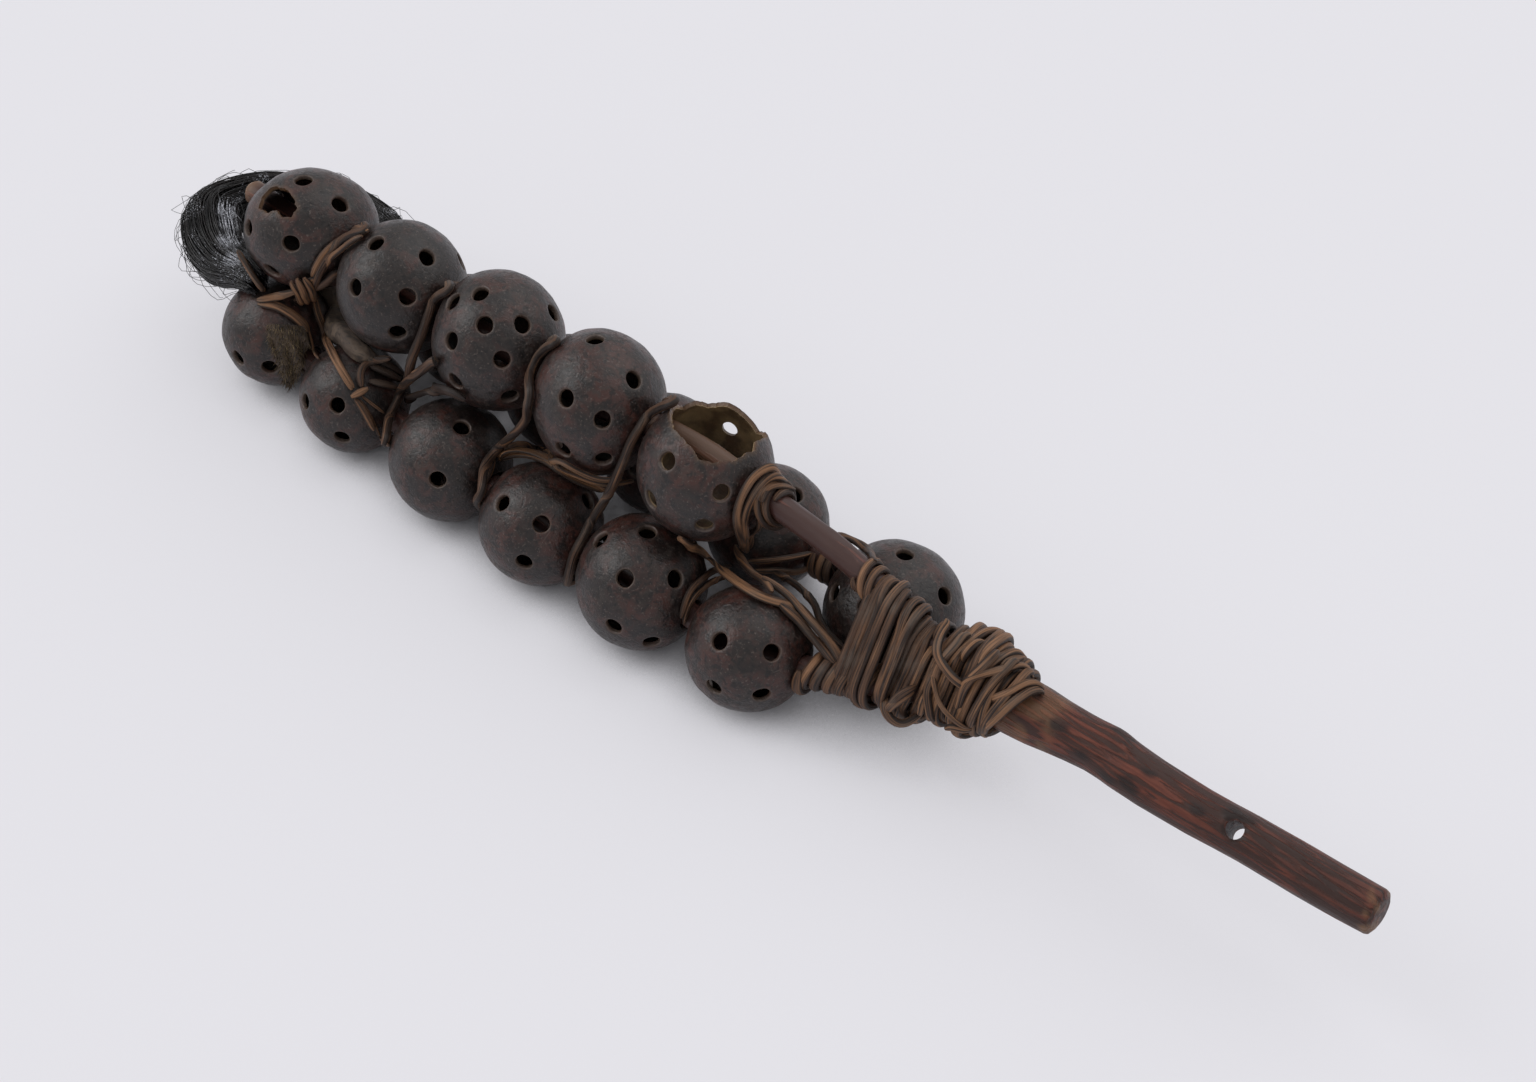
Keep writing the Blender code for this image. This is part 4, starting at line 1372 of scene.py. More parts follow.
@dataclass
class HandleWood:
    """The handle: a knotty stick, drilled for a hanging cord and worn at its butt."""

    view: View
    finish: WoodFinish = WoodFinish("handle_wood", srgb(96, 46, 32), srgb(110, 58, 42), srgb(47, 30, 25),
                                    srgb(150, 112, 78), fissure_share=0.53, grain_size=0.0010,
                                    fissure_size=0.0022, cloud_size=0.008, cloud_share=0.36, stretch=0.09,
                                    relief=0.0007, gloss=0.34)
    girth: tuple = ((0.0, 0.0162), (0.012, 0.0168), (0.030, 0.0174), (0.060, 0.0172), (0.090, 0.0184),
                    (0.113, 0.0186), (0.121, 0.0190), (0.129, 0.0200), (0.137, 0.0216), (0.160, 0.0234))
    line: tuple = ((0.0, 0.0), (0.020, 0.0011), (0.035, 0.0019), (0.050, 0.0024), (0.070, 0.0025),
                   (0.090, 0.0034), (0.105, 0.0049), (0.113, 0.0053), (0.129, 0.0047), (0.145, 0.0043),
                   (0.160, 0.0042), (0.172, 0.0030), (0.182, 0.0014), (0.192, 0.0))
    tip: float = 0.0070
    taper: float = 0.0380
    knots: tuple = (
        Knot(1109, 777, 0.0010, 0.0060, 32, 0.0026),
        Knot(1119, 734, 0.0011, 0.0050, 30, 0.0030),
        Knot(1129, 784, 0.0004, 0.0060, 30, 0.0026),
        Knot(1060, 725, 0.0002, 0.0060, 30, 0.0020),
        Knot(1081, 755, 0.0002, 0.0060, 30, 0.0020),
        Knot(1147, 772, 0.0002, 0.0060, 30, 0.0018),
        Knot(1199, 811, 0.0003, 0.0040, 25, 0.0018),
        Knot(1236, 815, 0.0006, 0.0060, 28, 0.0026),
        Knot(1246, 820, 0.0005, 0.0060, 28, 0.0024),
    )
    hole: float = 0.0066
    hole_setback: float = 0.0545
    hole_lean: float = 30.0
    hole_round: float = 0.0016
    hole_sides: int = 40
    hole_sharp: float = 60.0
    hole_dark: tuple = (0.0022, 0.8)
    butt_round: float = 0.0022
    butt_dark: tuple = (0.110, 0.30)
    butt_reach: float = 0.0072
    butt_run: float = 0.0060
    butt_worn: float = 0.8
    butt_patches: tuple = (3, -0.1)
    sides: int = 96
    step: float = 0.0010
    stations: int = 60
    flute: float = 0.00045
    flute_waves: tuple = (16, 1.3)
    fissure: float = 0.00030
    fissure_waves: tuple = (40, 5.5)
    fissure_floor: float = 0.1
    neck: float = 0.1240
    neck_run: float = 0.0200
    neck_worn: float = 0.3
    neck_patches: tuple = (2, 0.7)
    patch_grain: float = 190
    knot_squeeze: tuple = (0.55, 1.0, 1.0)
    knot_core: float = 1.3
    knot_ragged: float = 0.9
    knot_dark: float = 0.75
    curve: Array | None = None
    low: float = 0.0
    high: float = 0.0
    spots: list[tuple[float, float]] = field(default_factory=list)

    BENT = (0.0, 0.654, 0.757)

    def measure(self) -> None:
        """Read the handle's axis from the frame, and find where its knots sit."""
        middles, _ = sections("handle", self.stations)
        self.low = float(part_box("handle")[0][0])
        self.high = float(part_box("handle")[1][0])
        self.curve = np.polyfit(middles[:, 0], middles[:, 1:], 3)
        self.spots = [self.under(knot.x, knot.y) for knot in self.knots]

    def bend(self, x: float) -> Array:
        """How far the wood leaves the straight line of the CAD handle at x, as the photograph shows it."""
        places, shifts = zip(*self.line)
        return np.array(self.BENT) * float(np.interp(self.high - x, places, shifts))

    def axis(self, x: float) -> Array:
        """Point of the axis at x."""
        powers = np.array((x ** 3, x ** 2, x, 1.0))
        return np.array((x, *(powers @ self.curve))) + self.bend(x)

    def under(self, x: float, y: float) -> tuple[float, float]:
        """Where the skin lies behind a pixel.

        Args:
            x: pixels from the left.
            y: pixels from the top.

        Returns:
            Its place along X and its turn in degrees.
        """
        ray = self.view.ray(x, y)
        eye = self.view.place()
        towards = np.array(self.view.towards())
        best = (math.inf, 0.0, 0.0)
        for place in np.linspace(self.low, self.high, self.stations * 3):
            for turn in range(-180, 180, 4):
                way = np.array(direction(90, turn))
                if way @ towards > 0:
                    off = self.axis(place) + way * self.radius(place) - eye
                    best = min(best, (float(np.linalg.norm(np.cross(off, ray))), float(place), float(turn)))
        return best[1], best[2]

    def radius(self, x: float) -> float:
        """Radius at x without knots: a whittled tip, a thick neck, then a slow taper to the butt.

        Args:
            x: place along X.

        Returns:
            The radius.
        """
        places, widths = zip(*self.girth)
        full = float(np.interp(self.high - x, places, widths))
        t = min(max(x - self.low, 0.0) / self.taper, 1.0)
        return (self.tip + (full - self.tip) * t * t * (3 - 2 * t)) / 2

    def relief(self, x: float, turn: float) -> float:
        """Height of the knots, flutes and fissures.

        Args:
            x: place along X.
            turn: angle about the axis in radians.

        Returns:
            The height.
        """
        height = 0.0
        for knot, (place, knot_turn) in zip(self.knots, self.spots):
            off = (math.degrees(turn) - knot_turn + 180) % 360 - 180
            reach = ((x - place) / knot.half_length) ** 2 + (off / knot.half_width) ** 2
            height += knot.height * math.exp(-reach)
        height += self.flute * skin_noise(x, turn, self.flute_waves)
        return height - self.fissure * max(skin_noise(x, turn, self.fissure_waves) - self.fissure_floor, 0.0)

    def hole_axis(self) -> tuple[Array, Array]:
        """Middle and direction of the hanging hole."""
        lean = math.radians(self.hole_lean)
        return self.axis(self.high - self.hole_setback), np.array((0.0, -math.sin(lean), math.cos(lean)))

    def marks(self, vertices: Array, beside: Array) -> dict[str, Array]:
        """Worn and dark places of the wood.

        Args:
            vertices: places of the vertices.
            beside: distance of each from the wall of the hanging hole.

        Returns:
            How worn and how dark each vertex is.
        """
        from_butt = self.high - vertices[:, 0]
        patches = np.array([noise.noise(Vector(vertex) * self.patch_grain) for vertex in vertices])
        worn = np.zeros(len(vertices))
        for share, most, (gain, shift) in (
                ((self.butt_reach - from_butt) / self.butt_run, self.butt_worn, self.butt_patches),
                ((from_butt - self.neck) / self.neck_run, self.neck_worn, self.neck_patches)):
            worn = np.maximum(worn, np.clip(share, 0, most) * np.clip(patches * gain + shift, 0, 1))
        dark = np.zeros(len(vertices))
        # Painted shade round the edge of the hanging hole; the wood also darkens towards the butt.
        for reach, (run, most) in ((beside, self.hole_dark), (from_butt, self.butt_dark)):
            dark = np.maximum(dark, np.clip(1 - reach / run, 0, 1) * most)
        for knot, (place, turn) in zip(self.knots, self.spots):
            spot = self.axis(place) + np.array(direction(90, turn)) * (self.radius(place) + knot.height)
            far = np.linalg.norm((vertices - spot) * np.array(self.knot_squeeze), axis=1) / knot.stain
            shade = np.clip(self.knot_core - far + patches * self.knot_ragged, 0, self.knot_dark)
            dark = np.maximum(dark, shade)
        return {"worn": worn, "dark": dark}

    def build(self) -> None:
        """Make the handle: loft it, soften the hole's edge and drill it."""
        span = self.high - self.low
        places = np.linspace(self.low, self.high, round(span / self.step))
        path = np.array([self.axis(x) for x in places])
        inset = np.clip(1 - (self.high - places) / self.butt_round, 0, 1)
        radii = np.array([self.radius(x) for x in places]) - self.butt_round * (1 - np.sqrt(1 - inset ** 2))
        vertices, faces, _ = tube(path, radii, self.sides,
                                  lambda share, turn: self.relief(self.low + share * span, turn))
        middle, way = self.hole_axis()
        off = vertices - middle
        beside = np.linalg.norm(off - np.outer(off @ way, way), axis=1) - self.hole / 2
        dip = np.clip(1 - beside / self.hole_round, 0, 1) ** 2 * self.hole_round / 2
        vertices = vertices - np.outer(dip * np.sign(off @ way), way)
        marks = self.marks(vertices, beside)
        piece = add_piece("handle_wood", vertices, faces, self.finish.material(), marks)
        self.drill(piece, middle, way)
        settle_in(piece, "handle", "handle")

    def drill(self, piece: Piece, middle: Array, way: Array) -> None:
        """Cut the hanging hole and keep the result as the piece's own mesh.

        Args:
            piece: the handle.
            middle: middle of the hole.
            way: direction of the hole.
        """
        depth = self.radius(middle[0]) * 2
        path = middle + np.outer((-depth, 0.0, depth), way)
        vertices, faces, _ = tube(path, np.full(3, self.hole / 2), self.hole_sides, lambda share, turn: 0.0)
        # The hole's wall takes the dark colour in full, as painted shade.
        marks = {"worn": np.zeros(len(vertices)), "dark": np.ones(len(vertices))}
        drill = add_piece("drill", vertices, faces, piece.data.materials[0], marks)
        cut = piece.modifiers.new("hole", "BOOLEAN")
        cut.operation = "DIFFERENCE"
        cut.object = drill
        bake(piece, cut)
        bpy.data.meshes.remove(drill.data)
        piece.data.set_sharp_from_angle(angle=math.radians(self.hole_sharp))


@dataclass(frozen=True)
class FibreFinish:
    """Split plant fibre: brown strips with fine lengthwise ridges, painted shade in their grooves and along
    their flanks, and tan crests that are partly wear from rubbing and partly a painted highlight.
    """

    name: str = "split_fibre"
    fibre: Colour = srgb(82, 58, 43)
    # Dark brown of the darkest strands, also laid as painted shade in grooves and along the flanks.
    shade: Colour = srgb(32, 23, 19)
    # Tan of the crests, partly wear from rubbing and partly a painted highlight.
    rubbed_and_highlit: Colour = srgb(146, 106, 75)
    dusty: Colour = srgb(96, 84, 74)
    streak_size: float = 0.40
    dust_size: float = 0.012
    relief: float = 0.00040

    def material(self) -> Material:
        """Material whose streaks follow each strand.

        Returns:
            The material.
        """
        kit = MaterialKit(self.name)
        grain = kit.attribute("grain", "Vector")
        tone = kit.attribute("tone")
        streak = kit.noise(self.streak_size, 3.0, grain)
        broad = kit.noise(self.streak_size * 5, 2.0, grain)
        patch = kit.noise(self.dust_size, 3.0)
        ridge = kit.attribute("ridge")
        dust = kit.smooth(patch, 0.48, 0.72, 0.5)
        # Share for the tan crests, higher on high ridges and pale strands: partly wear, partly a painted
        # highlight.
        rub_and_highlight = kit.total(kit.times(tone, 0.10), kit.times(broad, 0.35),
                           kit.times(ridge, 0.40), kit.times(streak, 0.35))
        # Dark lengthwise streaks; the same noise lowers the bump, so they are also painted shade in the low
        # grooves.
        colour = kit.mix(kit.smooth(streak, 0.36, 0.56), self.shade, self.fibre)
        colour = kit.mix(kit.smooth(rub_and_highlight, 0.50, 0.74, 0.95), colour, self.rubbed_and_highlit)
        colour = kit.mix(dust, colour, self.dusty)
        # Painted shade in the grooves between the ridges.
        colour = kit.mix(kit.smooth(ridge, 0.46, 0.30, 0.85), colour, self.shade)
        colour = kit.mix(kit.smooth(tone, -0.55, -1.05, 0.65), colour, self.shade)
        # Painted shade along the strands' flanks, where neighbouring strands meet.
        colour = kit.mix(kit.smooth(kit.attribute("flank"), 0.50, 0.95, 0.88), colour, self.shade)
        roughness = kit.total(kit.smooth(streak, 0.3, 0.7, 0.18), 0.46)
        height = kit.total(streak, kit.times(broad, 0.5))
        return kit.finish(colour, roughness, height, self.relief, Specular_IOR_Level=0.35)


@dataclass
class Strand:
    """One strand: its path, the side that looks outwards at each point, its size and its tone."""

    points: Array
    outward: Array
    width: float = 0.0042
    thickness: float = 0.0030
    tone: float = 0.0
    tapered: float = 0.004


class FibreLoom:
    """Geometry Nodes tree that turns paths into ridged strands of split fibre."""

    RIDGES = 1.7
    RIDGE_LENGTH = 0.040
    RIDGE_DEPTH = 0.42
    SIDES = 20
    STEP = 0.0013
    RING = 0.001
    APART = 37.0
    END_GIRTH = 0.45
    EASING = 2

    def __init__(self, finish: FibreFinish) -> None:
        """Build the tree and the material.

        Args:
            finish: finish of the fibre.
        """
        self.material = finish.material()
        sizes = {"Sides": "Int", "Ridges": "Float", "Ridge Length": "Float", "Ridge Depth": "Float"}
        kit = GeometryKit(finish.name, sizes)
        curve = kit.add("GeometryNodeMeshToCurve", {"Mesh": kit.given["Geometry"]}).outputs["Curve"]
        tangent = kit.add("GeometryNodeInputTangent").outputs["Tangent"]
        outward = kit.way("outward")
        ahead = kit.scaled(tangent, kit.vector("DOT_PRODUCT", outward, tangent))
        up = kit.vector("NORMALIZE", kit.vector("SUBTRACT", outward, ahead))
        curve = kit.store(curve, "up", up, "FLOAT_VECTOR")
        curve = kit.store(curve, "side", kit.vector("CROSS_PRODUCT", tangent, up), "FLOAT_VECTOR")
        spot = kit.add("GeometryNodeInputPosition").outputs["Position"]
        curve = kit.store(curve, "spot", spot, "FLOAT_VECTOR")
        curve = kit.store(curve, "along", kit.add("GeometryNodeSplineParameter").outputs["Length"])
        circle = kit.add("GeometryNodeCurvePrimitiveCircle",
                         {"Resolution": kit.given["Sides"], "Radius": self.RING})
        ring = kit.store(circle.outputs["Curve"], "around",
                         kit.add("GeometryNodeSplineParameter").outputs["Factor"])
        swept = kit.add("GeometryNodeCurveToMesh", {"Curve": curve, "Profile Curve": ring, "Fill Caps": True})
        angle = kit.times(kit.named("around"), 2 * math.pi)
        cosine = kit.math("COSINE", angle)
        sine = kit.math("SINE", angle)
        far = kit.total(kit.math("DIVIDE", kit.named("along"), kit.given["Ridge Length"]),
                        kit.times(kit.named("tone"), self.APART))
        ridges = kit.given["Ridges"]
        grain = kit.combined(kit.times(cosine, ridges), kit.times(sine, ridges), far)
        ridge = kit.add("ShaderNodeTexNoise", {"Vector": grain, "Scale": 2.0, "Detail": 2.0}).outputs["Fac"]
        swell = kit.total(1.0, kit.times(kit.math("SUBTRACT", ridge, 0.5), kit.given["Ridge Depth"]))
        across = kit.scaled(kit.way("side"), kit.times(cosine, kit.named("half_width")))
        rise = kit.scaled(kit.way("up"), kit.times(sine, kit.named("half_thickness")))
        offset = kit.scaled(kit.vector("ADD", across, rise), swell)
        place = kit.vector("ADD", kit.way("spot"), offset)
        mesh = kit.store(swept.outputs["Mesh"], "grain", grain, "FLOAT_VECTOR")
        mesh = kit.store(mesh, "ridge", ridge)
        # Share across the strand, which the material turns into painted shade along its flanks.
        mesh = kit.store(mesh, "flank", kit.times(cosine, cosine))
        kit.close(kit.moved(mesh, Position=place))
        self.kit = kit

    def weave(self, name: str, strands: list[Strand], *nodes: str) -> None:
        """Make one piece of some strands.

        Args:
            name: name of the piece.
            strands: its strands.
            nodes: CAD nodes that it stands for.
        """
        points = []
        edges = []
        rows = {"outward": [], "half_width": [], "half_thickness": [], "tone": []}
        for strand in strands:
            path, outward = resampled(strand.points, strand.outward, self.STEP)
            start = len(points)
            count = len(path)
            full = np.sqrt(np.clip(from_ends(count, self.STEP) / strand.tapered, 0, 1))
            girth = self.END_GIRTH + (1 - self.END_GIRTH) * full
            points.extend(eased(path, self.EASING).tolist())
            edges.extend((start + k, start + k + 1) for k in range(count - 1))
            rows["outward"].extend(outward.tolist())
            rows["half_width"].extend(girth * strand.width / 2)
            rows["half_thickness"].extend(girth * strand.thickness / 2)
            rows["tone"].extend([strand.tone] * count)
        mesh = bpy.data.meshes.new(name)
        mesh.from_pydata(points, edges, [])
        carry(mesh, rows)
        piece = self.kit.grow(name, mesh, Sides=self.SIDES, Ridges=self.RIDGES,
                              Ridge_Length=self.RIDGE_LENGTH, Ridge_Depth=self.RIDGE_DEPTH,
                              Material=self.material)
        settle_in(piece, "fibre", *nodes)


def pushed_off(points: Array, margin: float | Array, shells: dict[str, ShellPlace],
               rounds: int = 12) -> Array:
    """Points moved out of the shells until each lies a margin off them.

    Args:
        points: the points.
        margin: distance to keep, one for all points or one for each.
        shells: the shells.
        rounds: how often all the shells push.

    Returns:
        The moved points.
    """
    result = points.copy()
    for _ in range(rounds):
        for shell in shells.values():
            away = (result - shell.centre) @ np.linalg.inv(shell.stretch)
            reach = np.linalg.norm(away, axis=1)
            short = np.clip(shell.radius + margin - reach, 0, None)
            result += (away / reach[:, None] * short[:, None]) @ shell.stretch
    return result


@dataclass
class Sight:
    """Finds what lies behind a pixel of the photograph: shells, sticks and the handle's neck."""

    view: View
    shells: dict[str, ShellPlace]
    sticks: Sticks
    handle: HandleWood
    loom: FibreLoom
    centres: Array = field(init=False)
    radii: Array = field(init=False)
    flatten: Array = field(init=False)

    WAY_EASING = 12
    PATH_EASING = 8

    def __post_init__(self) -> None:
        """Stand each shell and each short stretch of a stick in as a ball."""
        balls = [(place.centre, place.radius) for place in self.shells.values()]
        for row, line in self.sticks.middles.items():
            balls += list(zip(line, self.sticks.reaches[row]))
        places = np.linspace(self.handle.low, (self.handle.low + self.handle.high) / 2, self.sticks.stations)
        balls += [(self.handle.axis(x), self.handle.radius(x)) for x in places]
        self.centres = np.array([centre for centre, _ in balls])
        self.radii = np.array([radius for _, radius in balls])
        self.flatten = np.tile(np.eye(3), (len(balls), 1, 1))
        for number, place in enumerate(self.shells.values()):
            self.flatten[number] = np.linalg.inv(place.stretch)

    def depth(self, ray: Array, lift: float) -> float:
        """Distance along a sight line to a lift above the nearest ball, or nan where it meets none.

        Args:
            ray: direction of the sight line.
            lift: height above the ball.

        Returns:
            The distance.
        """
        off = np.einsum("nij,nj->ni", self.flatten, self.view.place() - self.centres)
        way = self.flatten @ ray
        square = (way ** 2).sum(axis=1)
        middle = (off * way).sum(axis=1)
        root = middle ** 2 - square * ((off ** 2).sum(axis=1) - (self.radii + lift) ** 2)
        met = root >= 0
        return float(((-middle[met] - np.sqrt(root[met])) / square[met]).min()) if met.any() else math.nan

    def spots(self, pixels: tuple, lift: float) -> Array:
        """Points behind pixels.

        Args:
            pixels: x and y of each, and a third value where nothing carries it: its height above the floor,
                or None where it hangs free between its neighbours.
            lift: height above what carries them.

        Returns:
            The points.
        """
        rays = np.array([self.view.ray(pixel[0], pixel[1]) for pixel in pixels])
        depths = np.array([self.free_depth(ray, *pixel[2:]) if pixel[2:] else self.depth(ray, lift)
                           for pixel, ray in zip(pixels, rays)])
        flat = np.array([pixel[:2] for pixel in pixels], dtype=float)
        run = np.concatenate(((0.0,), np.cumsum(np.linalg.norm(np.diff(flat, axis=0), axis=1))))
        known = ~np.isnan(depths)
        depths = np.interp(run, run[known], depths[known])
        return self.view.place() + rays * depths[:, None]

    def free_depth(self, ray: Array, height: float | None) -> float:
        """Distance along a sight line to a height above the floor, or nan for None."""
        return math.nan if height is None else (height - self.view.place()[2]) / ray[2]

    def outward(self, path: Array) -> Array:
        """Direction away from the nearest ball at each point of a path.

        Args:
            path: points of the path.

        Returns:
            The directions.
        """
        away = path[:, None, :] - self.centres[None, :, :]
        reach = np.linalg.norm(away, axis=2)
        nearest = (reach - self.radii).argmin(axis=1)
        rows = np.arange(len(path))
        ways = away[rows, nearest] / reach[rows, nearest][:, None]
        return eased(ways, self.WAY_EASING)

    def strand(self, pixels: tuple, width: float, thickness: float, tone: float, layer: float) -> Strand:
        """Strand of fibre along pixels of the photograph.

        Args:
            pixels: its points, as spots() takes them.
            width: its width.
            thickness: its thickness.
            tone: how pale it is, -1 to 1.
            layer: number of strands that lie under it.

        Returns:
            The strand.
        """
        lift = thickness * (0.5 + layer)
        return self.drawn(self.spots(pixels, lift), lift, width, thickness, tone)

    def drawn(self, points: Array, lift: float, width: float, thickness: float, tone: float) -> Strand:
        """Strand along a smooth path through points, a lift off the shells.

        Args:
            points: the points.
            lift: height of the path above the shells.
            width: the strand's width.
            thickness: its thickness.
            tone: how pale it is, -1 to 1.

        Returns:
            The strand.
        """
        path = pushed_off(curved(points, self.loom.STEP), lift, self.shells)
        path = pushed_off(eased(path, self.PATH_EASING), lift, self.shells)
        return Strand(path, self.outward(path), width, thickness, tone)


class Packing(NamedTuple):
    """Wad under the windings: its place past the handle's tip, half its run, its rise and its radius."""

    place: float
    half_run: float
    rise: float
    radius: float


class Winding(NamedTuple):
    """Winding of the lashings: where it starts, its pitch, turns, first turn, layer, width and tone."""

    start: float
    pitch: float
    turns: float
    first_turn: float
    layer: float
    width: float
    tone: float


class Wrap(NamedTuple):
    """Strand round one stick: its row, start, turns, first turn, size, lean along it and lift off it."""

    row: str
    start: float
    turns: float
    first_turn: float
    size: float
    lean: float
    lift: float = 0.0


@dataclass
class Lashings:
    """Fibre wound round the sticks and the handle."""

    sight: Sight
    thickness: float = 0.0032
    setback: float = 0.0030
    per_turn: int = 60
    unrest: float = 0.0014
    unrest_pace: float = 1.9
    slant: float = 0.0050
    slant_pace: float = 0.5
    lean: float = 0.0040
    lean_turns: float = 2.2
    sink_run: float = 0.0140
    tuck: float = 0.0040
    tuck_run: float = 0.0070
    bounce: float = 0.16
    bounce_pace: float = 2.3
    wound_flat: float = 0.9
    over_flat: float = 0.75
    easing: int = 4
    wound_easing: int = 6
    stick_pitch: float = 1.05
    stick_unrest: float = 0.0004
    stick_pace: float = 0.11
    stick_apart: float = 90

    SEED = 1.3
    SEED_STEP = 1.7
    ROUND_STICKS = (Wrap("front", -0.0055, 6.4, 40.0, 0.0042, -0.30),
                    Wrap("top", 0.0030, 2.6, 70.0, 0.0034, 0.2))
    PACKED = (Packing(0.0170, 0.0200, 0.0078, 0.0085), Packing(0.0035, 0.0090, -0.0120, 0.0088))
    FIRST = (
        Winding(0.0085, 0.0042, 7.6, 20.0, 0.0, 0.0037, -0.5),
        Winding(0.0120, 0.0092, 2.4, 150.0, 0.75, 0.0036, 0.0),
        Winding(0.0200, 0.0075, 2.2, 300.0, 0.80, 0.0036, -0.3),
    )
    SECOND = (
        Winding(0.0365, 0.0044, 8.2, 0.0, 0.0, 0.0038, 0.3),
        Winding(0.0440, 0.0090, 2.8, 210.0, 0.75, 0.0040, 0.5),
    )
    CROSSING = (
        Winding(0.0690, -0.0125, 1.9, 200.0, 0.8, 0.0034, 0.4),
        Winding(0.0450, 0.0150, 1.6, 120.0, 0.8, 0.0034, 0.1),
    )
    OVER_STICKS = (
        (((886, 716), (898, 698), (920, 685)), 0.0036, -0.1, 0.0004),
        (((884, 700), (889, 716), (900, 725), (917, 723)), 0.0040, 0.1, 0.0),
        (((914, 722), (924, 706), (932, 686)), 0.0034, 0.2, 0.0002),
        (((893, 705), (905, 690), (923, 680)), 0.0030, -0.3, 0.0010),
    )
    OVER_HANDLE = (
        (((931, 664), (942, 691), (958, 714), (971, 728)), 0.0019, 0.8, 0.0022),
        (((957, 690), (974, 679), (1000, 671), (1023, 664), (1036, 668)), 0.0030, 0.5, 0.0010),
        (((985, 700), (1006, 694), (1026, 683), (1046, 680)), 0.0030, 0.3, 0.0008),
        (((980, 731), (1000, 714), (1019, 698), (1045, 684)), 0.0034, 0.3, 0.0),
        (((953, 613, None), (941, 635), (937, 655), (952, 674), (966, 690)), 0.0036, 0.2, 0.0012),
        (((969, 624, None), (957, 645), (940, 668), (934, 690)), 0.0036, 0.4, 0.0004),
        (((1004, 645), (984, 666), (966, 688), (958, 706)), 0.0036, 0.0, 0.0004),
        (((1020, 652), (1000, 676), (979, 704), (970, 725)), 0.0036, 0.1, 0.0002),
        (((938, 735), (955, 724), (975, 731)), 0.0030, 0.2, 0.0006),
        (((926, 727), (932, 702), (936, 680), (946, 660)), 0.0032, -0.2, 0.0),
        (((984, 631, None), (974, 644), (957, 662)), 0.0034, 0.5, 0.0006),
        (((1035, 666), (1012, 690), (990, 716), (982, 736)), 0.0034, -0.1, 0.0),
    )

    def circles(self, x: float) -> list[tuple[Array, float]]:
        """Middles and radii of what a winding at x is drawn round.

        Args:
            x: place along X.

        Returns:
            The middles and radii.
        """
        last = self.sight.shells["rear_6"]
        rear_start = last.centre[0] + last.radius + self.thickness
        found = []
        for row in ("top", "front", "rear"):
            past = (x - self.sight.sticks.end(row) - self.thickness) / self.sink_run
            if past < 1 and (row != "rear" or x > rear_start):
                middle, radius = self.sight.sticks.at(row, x)
                sunk = max(past, 0.0)
                found.append((middle * (1 - sunk) + self.sight.handle.axis(x) * sunk, radius))
        if x > self.sight.handle.low - self.thickness:
            found.append((self.sight.handle.axis(x), self.sight.handle.radius(x)))
        for wad in self.PACKED:
            share = 1 - ((x - self.sight.handle.low - wad.place) / wad.half_run) ** 4
            if share > 0:
                rise = np.array(self.sight.handle.BENT) * wad.rise * share
                found.append((self.sight.handle.axis(x) + rise, wad.radius * share))
        return found

    def wound(self, origin: float, winding: Winding, seed: float) -> Strand:
        """Strand of a winding drawn tight.

        Args:
            origin: x that its start counts from.
            winding: its measures.
            seed: number that varies its unrest.

        Returns:
            The strand.
        """
        points = []
        outward = []
        for k in range(round(winding.turns * self.per_turn) + 1):
            run = k / self.per_turn
            way = direction(90, winding.first_turn + 360 * run)
            x = origin + winding.start + winding.pitch * run
            x += self.unrest * noise.noise(Vector((run * self.unrest_pace, seed, 0.3)))
            x += self.slant * noise.noise(Vector((run * self.slant_pace, seed, 2.6))) * way.z
            x += self.lean * math.exp(-run / self.lean_turns - winding.start / self.lean) * (1 - way.z) / 2
            flat = np.array((0.0, way.y, way.z))
            bounce = self.bounce * noise.noise(Vector((run * self.bounce_pace, 0.7, seed)))
            lift = self.thickness * (0.5 + winding.layer + bounce)
            middle, reach = max(self.circles(x), key=lambda circle: float(circle[0] @ flat) + circle[1])
            points.append(np.array((x, middle[1], middle[2])) + flat * (reach + lift))
            outward.append(flat)
        path, sides = resampled(np.array(points), np.array(outward), self.sight.loom.STEP)
        path = pushed_off(eased(path, self.wound_easing), self.thickness / 2, self.sight.shells)
        thickness = self.thickness * self.wound_flat
        return self.tucked(Strand(path, sides, winding.width, thickness, winding.tone))

    def tucked(self, strand: Strand) -> Strand:
        """The strand with both ends pushed in under its neighbours.

        Args:
            strand: the strand.

        Returns:
            The same strand.
        """
        inset = from_ends(len(strand.points), self.sight.loom.STEP)
        depth = self.tuck * np.clip(1 - inset / self.tuck_run, 0, 1) ** 2
        strand.points = strand.points - strand.outward * depth[:, None]
        return strand

    def over(self, pixels: tuple, width: float, tone: float, lift: float) -> Strand:
        """Strand seen along pixels of the photograph, on top of the windings.

        Args:
            pixels: its points.
            width: its width.
            tone: how pale it is.
            lift: its height above the windings.

        Returns:
            The strand.
        """
        thickness = width * self.over_flat
        height = self.thickness + lift + thickness / 2
        points = curved(self.sight.spots(pixels, height), self.sight.loom.STEP)
        for k, point in enumerate(points):
            heart = self.sight.handle.axis(point[0])
            way = unit(point - heart)
            reach = max(float((middle - heart) @ way) + radius for middle, radius in self.circles(point[0]))
            points[k] = point + way * max(reach + height - float((point - heart) @ way), 0.0)
        path = pushed_off(eased(points, self.easing), thickness / 2, self.sight.shells)
        return self.tucked(Strand(path, self.sight.outward(path), width, thickness, tone))

